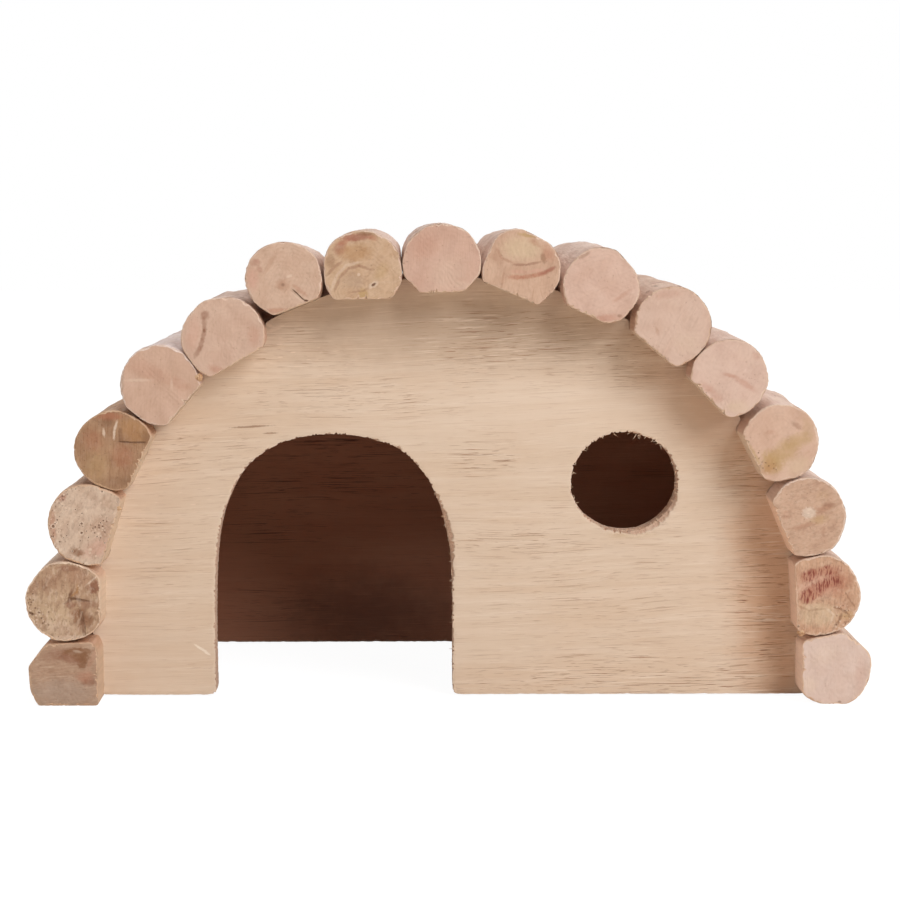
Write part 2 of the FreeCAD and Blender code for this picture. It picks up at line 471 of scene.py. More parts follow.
def outline(n, turns, share):
    # the log's radius in each direction, in mm, and how much of it is the seat flat's
    radius = np.full(len(turns), radiusAt(n, share))
    for turn, amount, where, length in branches[n].get("swells", []):
        near = math.exp(-((share - where) / length) ** 2)
        radius += amount * near * np.clip(np.cos(turns - math.radians(turn)), 0, 1) ** 3
    y = (share - 0.5) * 2 * logHalf
    reach = packed[n]["radius"]
    across = np.c_[reach * np.cos(turns), reach * np.sin(turns)]
    radius += logShape["uneven"] * waves(100 + n, np.c_[across, np.full(len(turns), y / 5)], 9.0)
    radius += logShape["ridges"] * waves(200 + n, np.c_[across, np.full(len(turns), y / 14)], 1.5)
    for turn, knotY, width in knotsOf(n):
        aside = reach * np.abs((turns - turn + pi) % (2 * pi) - pi)
        near = (aside ** 2 + (0.6 * (y - knotY)) ** 2) / width ** 2
        radius += logShape["knotHeight"] * (np.exp(-near / 2) - 1.3 * np.exp(-near * 3.0) * 0.6)
    soft = logShape["corner"]
    total = np.exp(-(radius - 8) / soft)
    seat = np.zeros(len(turns))
    for place, (turn, distance) in enumerate(flatsAt(n, share)):
        facing = np.cos(turns - turn)
        limit = np.minimum(distance / np.maximum(facing, 0.2), 30)
        limit[facing < 0.2] = 30
        part = np.exp(-(limit - 8) / soft)
        total += part
        if place == 0:
            seat = part
    return 8 - soft * np.log(total), seat / total


def makeMesh(name, points, faces, materials, slots=None, layers=None):
    # points in mm, each face a row of corners; layers are values by name, one per corner
    mesh = bpy.data.meshes.new(name)
    mesh.from_pydata((np.asarray(points) * mm).tolist(), [], faces)
    for layer, values in (layers or {}).items():
        mesh.attributes.new(layer, "FLOAT", "POINT").data.foreach_set("value", np.ravel(values))
    for material in materials:
        mesh.materials.append(material)
    if slots is not None:
        mesh.polygons.foreach_set("material_index", np.asarray(slots, np.int32))
    mesh.shade_smooth()
    mesh.update()
    piece = bpy.data.objects.new(name, mesh)
    bpy.context.collection.objects.link(piece)
    return piece


def settle(piece, node, sharp=None):
    # the piece stands for an imported node, which is hidden
    if sharp is not None:
        piece.data.set_sharp_from_angle(angle=math.radians(sharp))
    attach(piece, "root")
    if node:
        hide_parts(node)


def logTurns(n):
    # directions of a log's corners, closer together where the pins go in
    outward = outwardOf(n)
    even = np.linspace(-pi, pi, logShape["columns"], endpoint=False)
    close = outward + np.linspace(-pinHole["closeTurn"], pinHole["closeTurn"], pinHole["closeRows"])
    turns = np.sort((np.concatenate([even, close]) + pi) % (2 * pi) - pi)
    return turns[np.append(np.diff(turns) > 0.004, True)]


def sideStations():
    # y of the rings along a log's side, closer together at the ends and at the pins
    low, high = -logHalf + logShape["ease"], logHalf - logShape["ease"]
    even = np.linspace(low, high, logShape["sideRings"])
    ends = np.array([0.25, 0.55, 0.95, 1.5, 2.3])
    close = np.linspace(-pinHole["closeY"], pinHole["closeY"], pinHole["closeRows"])
    stations = np.sort(np.concatenate([even, low + ends, high - ends,
                                       close - pinHole["y"], close + pinHole["y"]]))
    return stations[np.append(True, np.diff(stations) > 0.06)]


def sinkPins(rings, n):
    # pits over the sunk pins
    outward = outwardOf(n)
    out = np.array([math.cos(outward), math.sin(outward)])
    aside = np.array([-out[1], out[0]])
    for y in (-pinHole["y"], pinHole["y"]):
        spot = rings[..., [0, 2]]
        height = spot @ out
        off = np.hypot(spot @ aside, rings[..., 1] - y)
        above = (height > 4) & (off < pinHole["radius"] + pinHole["crush"])
        floor = packed[n]["radius"] - pinHole["depth"]
        rimShare = np.clip((off - pinHole["radius"]) / pinHole["crush"], 0, 1)
        sunk = np.where(off < pinHole["radius"], floor, height - pinHole["dent"] * (1 - rimShare))
        drop = np.where(above, height - np.minimum(sunk, height), 0)
        rings[..., 0] -= drop * out[0]
        rings[..., 2] -= drop * out[1]


def makeLog(n, endMaterial, sideMaterial):
    turns = logTurns(n)
    count = len(turns)
    way = np.c_[np.cos(turns), np.sin(turns)]
    rimSpots = way * logShape["rimRound"]
    origin = np.array([packed[n]["x"], packed[n]["z"]])
    dice = np.random.default_rng(300 + n)
    tilts = {end: dice.normal(0, logShape["tilt"] / 2, 2) for end in (-1, 1)}
    points, edges, flats = [], [], []

    def addRing(share, radius, y, edge, flat):
        spot = (centreAt(n, share) - origin) + way * radius[:, None]
        points.append(np.c_[spot[:, 0], np.broadcast_to(y, count), spot[:, 1]])
        edges.append(np.broadcast_to(edge, count))
        flats.append(flat)

    def nibble(end, flat):
        # where fibres broke out of the rim, more so along the seat flat
        chips = waves(400 + n + end, rimSpots, 1.5) + 0.6 * waves(450 + n + end, rimSpots, 0.7)
        here = np.clip(0.6 + 0.7 * waves(480 + n + end, rimSpots, 6.0), 0.1, 1.4)
        small = np.clip(chips - 0.35, 0, 1.6) * logShape["fray"] * here
        return small * (0.6 + 0.9 * flat)

    def faceY(end, spot):
        # a sawn end, uneven and a little out of square, never past the log's length
        lie = spot @ tilts[end] + logShape["faceRelief"] * waves(600 + n + end, spot, 7.0)
        lie = lie + 0.02 * waves(650 + n + end, spot, 1.3)
        return end * (logHalf - np.clip(lie + 0.16, 0, 0.6))

    def addEnd(end, ringCount):
        share = 0.0 if end < 0 else 1.0
        radius, flat = outline(n, turns, share)
        worn = nibble(end, flat)
        ease = logShape["ease"] * (1 + 0.45 * waves(700 + n + end, rimSpots, 3.0))
        ease = np.clip(ease, 0.12, 0.6) + 0.4 * worn
        rim = radius - worn
        rings = []
        for k in range(1, ringCount + 1):
            part = 1 - (1 - k / ringCount) ** 1.15
            inner = (rim - ease) * part
            rings.append((inner, faceY(end, way * inner[:, None]),
                          np.clip(1 - (rim - inner) / logShape["edgeFade"], 0, 1), np.zeros(count)))
        base = faceY(end, way * (rim - ease)[:, None])
        for angle in (22.5, 45, 67.5):
            lean = math.radians(angle)
            rings.append((rim - ease * (1 - math.sin(lean)),
                          base - end * ease * (1 - math.cos(lean)), np.ones(count), flat * 0.5))
        for ring in (rings if end < 0 else rings[::-1]):
            addRing(share, *ring)

    addEnd(-1, logShape["faceRings"])
    faceCount = len(points) - 1
    for y in sideStations():
        share = (y / logHalf + 1) / 2
        fromEnd = logHalf - abs(y)
        end = -1 if y < 0 else 1
        radius, flat = outline(n, turns, share)
        radius = radius - nibble(end, flat) * math.exp(-fromEnd / 0.6)
        addRing(share, radius, y, max(0, 1 - fromEnd / logShape["edgeFade"]), flat)
    sideEnd = len(points)
    addEnd(1, logShape["backRings"])
    rings = np.array(points)
    sinkPins(rings, n)
    ringCount = len(rings)
    flat = rings.reshape(-1, 3)
    front = rings[0].mean(0)
    back = rings[-1].mean(0)
    index = np.arange(ringCount * count).reshape(ringCount, count)
    nextIndex = np.roll(index, -1, axis=1)
    quads = np.stack([index[:-1], index[1:], nextIndex[1:], nextIndex[:-1]], -1)
    slots = np.ones((ringCount - 1, count), int)
    slots[:faceCount - 3] = 0
    slots[sideEnd + 3:] = 0
    frontFan = [(len(flat), int(a), int(b)) for a, b in zip(index[0], nextIndex[0])]
    backFan = [(int(a), len(flat) + 1, int(b)) for a, b in zip(index[-1], nextIndex[-1])]
    faces = quads.reshape(-1, 4).tolist() + frontFan + backFan
    slots = slots.ravel().tolist() + [0] * (2 * count)
    piece = makeMesh(f"branch_log_{n:02d}", np.vstack([flat, front, back]), faces,
                     [endMaterial, sideMaterial], slots,
                     {"edge": np.append(np.ravel(edges), [0, 0]),
                      "flat": np.append(np.ravel(flats), [0, 0])})
    piece.location = (origin[0] * mm, 0, origin[1] * mm)
    settle(piece, f"roof_log_{n:02d}", 38)


panelShape = {
    "shoulderRadius": 81.0,            # mm, the round shoulders of the outline
    "lift": {"front": 0.5, "rear": 0.85},   # mm, daylight under the bottom edges
    "meet": -0.08,                     # mm between an edge and a log, pressed in a little
    "valley": 2.9,                     # mm, how far an edge reaches up between two logs
    "bevel": 0.2,                      # mm, broken edges
    "edgeFade": 1.1,                   # mm, how far in from an edge the edge layer reaches
    "grid": 2.8,                       # mm between the corners inside a face
    "steps": {"arch": 0.45, "sill": 0.9, "doorway": 0.26, "peephole": 0.22},   # mm along an edge
    "groove": 0.07, "grooveHalf": 0.05,   # mm, depth and half width along a glue line
    "plyStep": 0.05,                   # mm, how far every other ply stands back
    "exitTear": 0.12, "exitFade": 0.5,    # mm, splintering where the saw came out
    "outerFace": 47.2, "innerFace": 38.2,   # mm from the middle of the house
    "plies": (1.6, 3.5, 5.5, 7.4),     # mm from the front face to each glue line
    "saw": 0.05,                       # mm, roughness of the sawn edges
    "relief": 0.03,                    # mm, unevenness of the faces
    "wallRows": (0, 0.07, 0.2, 0.42, 0.75, 1.2, 1.54, 1.6, 1.66, 2.5, 3.44, 3.5, 3.56, 4.5,
                 5.44, 5.5, 5.56, 6.5, 7.34, 7.4, 7.46, 8.0, 8.4, 8.65, 8.82, 8.93, 9.0),
}
# the doorway from the foot of its right jamb over the top to the left one, x and z in mm
doorway = {
    "points": [(3.2, 0), (1.9, 0.25), (1.25, 0.95), (1.05, 2.4), (1, 12), (1, 25.5),
               (0.6, 34.3), (-0.5, 41), (-2.4, 47.7), (-5.8, 54.4), (-11.8, 60.4),
               (-20.4, 63.4), (-28.4, 64.1), (-36.4, 63.2), (-43.7, 60.3), (-49.7, 55),
               (-53.8, 46.9), (-55.6, 39.8), (-56.4, 31.5), (-56.7, 20), (-56.6, 8),
               (-56.5, 2.6), (-56.6, 0.9), (-57, 0.25), (-57.8, 0)],
    # torn places: x, z, half length along the edge, how far in and how deep, all mm
    "tears": [(0.1, 40.2, 7.2, 1.2, 1.7), (-2.6, 48.3, 1.3, 0.7, 1.2), (0.9, 30.6, 2.5, 0.5, 1.4),
              (-28.9, 64, 0.5, 0.35, 0.6), (-17.4, 62.8, 0.9, 0.4, 0.7),
              (-12.3, 60.7, 1, 0.55, 0.9), (-7.4, 56.9, 0.7, 0.4, 0.7),
              (1, 22, 1.2, 0.3, 0.8), (1, 14.5, 1.8, 0.35, 0.8),
              (-51.9, 51.4, 1, 0.3, 0.6), (-56.3, 33, 1.5, 0.25, 0.6)],
    "fuzz": 0.22,
}
peephole = {
    "centre": (42.8, 52.4), "wide": 12.95, "high": 12.1,     # mm, half sizes
    "tears": [(45.5, 64, 1.6, 0.35, 0.8), (52.6, 60.6, 0.9, 0.3, 0.7),
              (49.6, 42.4, 6.5, 1, 1.5), (54.2, 46.2, 3.4, 0.8, 1.4), (34.2, 43, 1.2, 0.35, 0.7)],
    "fuzz": 0.25,
}


def runOf(line):
    # the length along a line up to each of its points
    return np.append(0, np.cumsum(np.hypot(*np.diff(line, axis=0).T)))


def evenSteps(line, step, closed=False):
    # the same line with its points a step apart
    if closed:
        line = np.vstack([line, line[:1]])
    run = runOf(line)
    count = max(2, int(round(run[-1] / step)))
    stops = np.linspace(0, run[-1], count + 1)
    if closed:
        stops = stops[:-1]
    return np.c_[np.interp(stops, run, line[:, 0]), np.interp(stops, run, line[:, 1])]


def smoothLine(points, step):
    # a smooth line through given points
    knots = np.asarray(points, float)
    knots = np.vstack([2 * knots[0] - knots[1], knots, 2 * knots[-1] - knots[-2]])
    t = np.linspace(0, 1, 20, endpoint=False)[:, None]
    rows = []
    for a, b, c, d in zip(knots, knots[1:], knots[2:], knots[3:]):
        rows.append(0.5 * (2 * b + (c - a) * t + (2 * a - 5 * b + 4 * c - d) * t ** 2
                           + (3 * b - a - 3 * c + d) * t ** 3))
    return evenSteps(np.vstack(rows + [knots[-2:-1]]), step)


def archLine(node, share, lift):
    # a panel's edge over the arch from the left foot to the right one, drawn to the log seats
    low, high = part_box(node)
    middle = (low.x + high.x) / 2 / mm
    radius = panelShape["shoulderRadius"]
    leg = high.z / mm - radius
    flat = (high.x - low.x) / 2 / mm - radius
    swing = np.linspace(pi, pi / 2, 60)
    left = np.c_[middle - flat + radius * np.cos(swing), leg + radius * np.sin(swing)]
    right = left[::-1] * (-1, 1) + (2 * middle, 0)
    foot = np.array([[left[0, 0], lift]])
    line = np.vstack([foot, left, right, foot * (-1, 1) + (2 * middle, 0)])
    line = evenSteps(line, panelShape["steps"]["arch"])
    ahead = np.gradient(line, axis=0)
    ahead /= np.hypot(*ahead.T)[:, None]
    out = np.c_[-ahead[:, 1], ahead[:, 0]]
    # out from the arch until a log is met, and a little way up between two logs
    steps = np.arange(-2.6, panelShape["valley"], 0.05)
    spots = line[:, None] + out[:, None] * steps[:, None]
    clear = np.full(spots.shape[:2], 9.0)
    for n in branches:
        away = spots - centreAt(n, share)
        distance = np.hypot(away[..., 0], away[..., 1])
        close = distance < radiusAt(n, share) + 3
        radius, _ = outline(n, np.arctan2(away[close][:, 1], away[close][:, 0]), share)
        clear[close] = np.minimum(clear[close], distance[close] - radius)
    blocked = clear < panelShape["meet"]
    blocked[:, -1] = True
    move = steps[np.argmax(blocked, axis=1)] - 0.05
    usual = np.convolve(np.pad(move, 2, mode="edge"), np.ones(5) / 5, mode="valid")
    move = np.minimum(move, usual + 0.3)
    return line + out * move[:, None]


def intoWood(line):
    # the way into the wood at each point of a loop that has the wood on its right
    ahead = np.roll(line, -1, axis=0) - np.roll(line, 1, axis=0)
    ahead /= np.maximum(np.hypot(*ahead.T), 1e-9)[:, None]
    return np.c_[ahead[:, 1], -ahead[:, 0]]


def tornAway(line, tears, fuzz, seed):
    # how far in the front edge is torn, and how deep behind the face, at each point of a loop
    into = fuzz * np.clip(waves(seed, line, 1.3) + waves(seed + 1, line, 0.7) - 0.2, 0, 1.9)
    deep = np.full(len(line), 5.0)
    for x, z, half, reach, depth in tears:
        near = np.hypot(*(line - (x, z)).T) / half
        rough = np.clip(1 + (0.16 if half > 3 else 0.35) * waves(seed + 2, line, 1.1), 0.4, 1.5)
        amount = np.clip(1.25 - near ** 2, 0, 1) ** 0.7 * reach * rough
        deep = np.where(amount > into, depth, deep)
        into = np.maximum(into, amount)
    return into, deep


def insideLoops(spots, loops):
    # even-odd test of points against closed loops
    inside = np.zeros(len(spots), bool)
    for loop in loops:
        for (x1, z1), (x2, z2) in zip(loop, np.roll(loop, -1, axis=0)):
            if z1 == z2:
                continue
            crosses = (spots[:, 1] > min(z1, z2)) & (spots[:, 1] <= max(z1, z2))
            at = x1 + (spots[:, 1] - z1) / (z2 - z1) * (x2 - x1)
            inside ^= crosses & (spots[:, 0] < at)
    return inside


def fillFace(loops, seed):
    # triangles over a face from its loops, as points (the loops' own first) and corners
    border = np.vstack(loops)
    low, high = border.min(0), border.max(0)
    dice = np.random.default_rng(seed)
    rows = [np.arange(low[axis], high[axis], panelShape["grid"]) for axis in (0, 1)]
    grid = np.stack(np.meshgrid(*rows), -1)
    grid = grid.reshape(-1, 2) + dice.uniform(-0.8, 0.8, (grid.size // 2, 2))
    close = np.vstack([loop[::3] + intoWood(loop)[::3] * 0.9 for loop in loops])
    spare = np.vstack([close, grid])
    clear = np.array([np.hypot(*(border - spot).T).min() for spot in spare])
    spare = spare[(clear > np.append(np.full(len(close), 0.6), np.full(len(grid), 1.6)))
                  & insideLoops(spare, loops)]
    points = np.vstack([border, spare])
    edges, start = [], 0
    for loop in loops:
        ring = np.arange(start, start + len(loop))
        edges += list(zip(ring.tolist(), np.roll(ring, -1).tolist()))
        start += len(loop)
    made = geometry.delaunay_2d_cdt([Vector(p) for p in points.tolist()], edges, [], 0, 1e-6)
    own = [origin[0] for origin in made[3]]
    corners = np.array([[own[i] for i in face] for face in made[2]])
    middles = points[corners].mean(1)
    return points, corners[insideLoops(middles, loops)]


def panelLoops(arch, lift, holes, seed):
    # the closed edges of a panel's face, the outer one first, and how each is torn
    left, right = arch[0, 0], arch[-1, 0]
    step = panelShape["steps"]
    corner = [[right - 0.35, lift + 0.1], [left + 0.35, lift + 0.1]]
    if not holes:
        sill = evenSteps(np.array([[right - 1.2, lift], [left + 1.2, lift]]), step["sill"])
        outer = np.vstack([arch[1:-1], corner[:1], sill, corner[1:]])
        return [outer], [tornAway(outer, [], 0.06, seed + 10)]
    mouth = smoothLine(doorway["points"], step["doorway"])
    mouth[:, 1] = np.maximum(mouth[:, 1], 0) + lift * np.clip(1 - mouth[:, 1] / 6, 0, 1)
    sills = [evenSteps(np.array([[x1, lift], [x2, lift]]), step["sill"])[1:-1]
             for x1, x2 in ((right - 1.2, mouth[0, 0]), (mouth[-1, 0], left + 1.2))]
    outer = np.vstack([arch[1:-1], corner[:1], sills[0], mouth, sills[1], corner[1:]])
    ring = np.linspace(0, 2 * pi, 400, endpoint=False)
    hole = np.c_[np.cos(ring), np.sin(ring)] * (peephole["wide"], peephole["high"])
    hole = hole * (1 + 0.004 * waves(seed + 5, hole, 9.0)[:, None]) + peephole["centre"]
    hole = evenSteps(hole, step["peephole"], closed=True)
    into, deep = tornAway(outer, doorway["tears"], doorway["fuzz"], seed + 10)
    # only the doorway's own stretch of the outer loop is rough
    fromMouth = np.arange(len(outer)) - (len(outer) - 1 - len(sills[1]) - len(mouth))
    rough = np.where((fromMouth >= 0) & (fromMouth < len(mouth)), 1, 0.15)
    return [outer, hole], [(into * rough, deep),
                           tornAway(hole, peephole["tears"], peephole["fuzz"], seed + 20)]


def makePanel(name, node, share, lift, holes, faceMaterials, cutMaterial, seed):
    # faceMaterials are the front face's and the back face's
    low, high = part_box(node)
    front, thickness = low.y / mm, (high.y - low.y) / mm
    arch = archLine(node, share, lift)
    loops, tears = panelLoops(arch, lift, holes, seed)
    rows = np.array(panelShape["wallRows"]) * thickness / panelShape["wallRows"][-1]
    points, faces, slots, edges = [], [], [], []
    firstRows, lastRows = [], []
    base = 0
    for loop, (into, deep) in zip(loops, tears):
        wood = intoWood(loop)
        # the edge under the logs is left sharp
        seated = (np.arange(len(loop)) < len(arch) - 2) & (loop is loops[0])
        broken = np.where(seated, 0.25, 1.0)
        run = runOf(loop)
        exitTear = panelShape["exitTear"] * np.clip(waves(seed + 31, loop, 1.4), 0, 2)
        for y in rows:
            fromEdge = min(y, thickness - y)
            bevel = panelShape["bevel"]
            inset = np.zeros(len(loop))
            if fromEdge < bevel:
                inset += broken * (bevel - math.sqrt(bevel ** 2 - (bevel - fromEdge) ** 2))
            inset += into * np.clip(1 - y / deep, 0, 1) ** 0.8
            inset += exitTear * math.exp(-(thickness - y) / panelShape["exitFade"])
            groove = min(abs(y - line) for line in panelShape["plies"])
            inset += panelShape["groove"] * max(0, 1 - groove / panelShape["grooveHalf"])
            ply = sum(y > line for line in panelShape["plies"])
            inset += panelShape["plyStep"] * (ply % 2)
            marks = np.c_[run, np.full(len(loop), y * 0.35)]
            inset += panelShape["saw"] * (0.6 * waves(seed + 40, marks, 1.1)
                                          + 0.5 * waves(seed + 41 + ply, marks, 3.0))
            inset = np.clip(inset, 0, 3)
            row = loop + wood * inset[:, None]
            points.append(np.c_[row[:, 0], np.full(len(loop), front + y), row[:, 1]])
            edges.append(np.full(len(loop), max(0, 1 - fromEdge / panelShape["edgeFade"])))
        index = base + np.arange(len(rows) * len(loop)).reshape(len(rows), len(loop))
        after = np.roll(index, -1, axis=1)
        quads = np.stack([index[:-1], after[:-1], after[1:], index[1:]], -1).reshape(-1, 4)
        faces += quads.tolist()
        slots += np.repeat([0, 0] + [1] * (len(rows) - 4) + [2], len(loop)).tolist()
        firstRows.append(index[0])
        lastRows.append(index[-1])
        base += index.size
    walls = np.vstack(points)
    for own, flip, y in ((firstRows, False, front), (lastRows, True, front + thickness)):
        border = np.concatenate(own)
        rims = [walls[ring][:, [0, 2]] for ring in own]
        spots, corners = fillFace(rims, seed + 50)
        extra = spots[len(border):]
        relief = panelShape["relief"] * waves(seed + 60, extra, 14.0)
        points.append(np.c_[extra[:, 0], y + (relief + 0.05) * (-1 if flip else 1), extra[:, 1]])
        away = np.array([np.hypot(*(spots[:len(border)] - spot).T).min() for spot in extra])
        edges.append(np.clip(1 - away / panelShape["edgeFade"], 0, 1))
        index = np.concatenate([border, base + np.arange(len(extra))])
        corners = index[corners[:, ::-1] if flip else corners]
        faces += corners.tolist()
        slots += [2 if flip else 0] * len(corners)
        base += len(extra)
    piece = makeMesh(name, np.vstack(points), faces,
                     [faceMaterials[0], cutMaterial, faceMaterials[1]], slots,
                     {"edge": np.concatenate(edges)})
    settle(piece, node, 35)


def makeFibres(name, roots, material, seed):
    # thin slivers of wood left on a sawn edge, each a closed tapered spike:
    # x, y, z, direction in degrees, length and thickness in mm
    dice = np.random.default_rng(seed)
    points, faces = [], []
    for x, y, z, turn, length, thick in roots:
        bend = dice.normal(0, 0.25)
        lean = dice.normal(-0.25, 0.2)
        base = len(points)
        steps = 6
        for k in range(steps + 1):
            along = k / steps
            angle = math.radians(turn) + bend * along
            centre = np.array([x + length * along * math.cos(angle),
                               y + length * along * lean,
                               z + length * along * math.sin(angle)])
            if k == steps:
                points.append(centre)
                break
            wide = thick / 2 * (1 - along) ** 0.7
            side = np.array([-math.sin(angle), 0, math.cos(angle)]) * wide
            depth = np.array([0, wide * 0.7, 0])
            points += [centre + side, centre - depth, centre - side, centre + depth]
        tip = len(points) - 1
        for k in range(steps - 1):
            for c in range(4):
                a, b = base + 4 * k + c, base + 4 * k + (c + 1) % 4
                faces.append((a, b, b + 4, a + 4))
        last = base + 4 * (steps - 1)
        faces += [(last + c, last + (c + 1) % 4, tip) for c in range(4)]
        faces.append((base + 3, base + 2, base + 1, base))
    piece = makeMesh(name, points, faces, [material])
    settle(piece, None, 60)


def makeGlue(name, centre, size, material, seed):
    # a dried bead of wood glue: x, y, z and half sizes in mm
    ball = bmesh.new()
    bmesh.ops.create_icosphere(ball, subdivisions=4, radius=1.0)
    ball.verts.index_update()
    spots = np.array([v.co for v in ball.verts])
    faces = [[v.index for v in face.verts] for face in ball.faces]
    ball.free()
    swell = 1 + 0.16 * waves(seed, spots, 1.7) + 0.05 * waves(seed + 1, spots, 0.6)
    points = spots * swell[:, None]
    points[:, 2] -= 0.25 * np.maximum(0, -spots[:, 2]) ** 2
    piece = makeMesh(name, points * size, faces, [material])
    piece.location = Vector(centre) * mm
    settle(piece, None)


# finishes

tints = {
    "white": paint(246, 232, 216), "bast": paint(204, 162, 136), "stain": paint(146, 102, 80),
    "dark": paint(104, 70, 52), "pale": paint(230, 208, 188), "cream": paint(216, 192, 162),
    "olive": paint(190, 158, 112), "red": paint(160, 98, 80), "brick": paint(132, 66, 56),
    "pink": paint(212, 166, 148), "ash": paint(176, 154, 138), "brown": paint(138, 98, 70),
    # the last tint on the next line and the last on the line after are painted shade for the
    # plywood face under the logs
    "shade": paint(182, 140, 116), "umber": paint(112, 78, 56), "tan": paint(206, 156, 118),
    "ochre": paint(182, 136, 88), "rust": paint(178, 112, 86), "drab": paint(172, 148, 126),
}
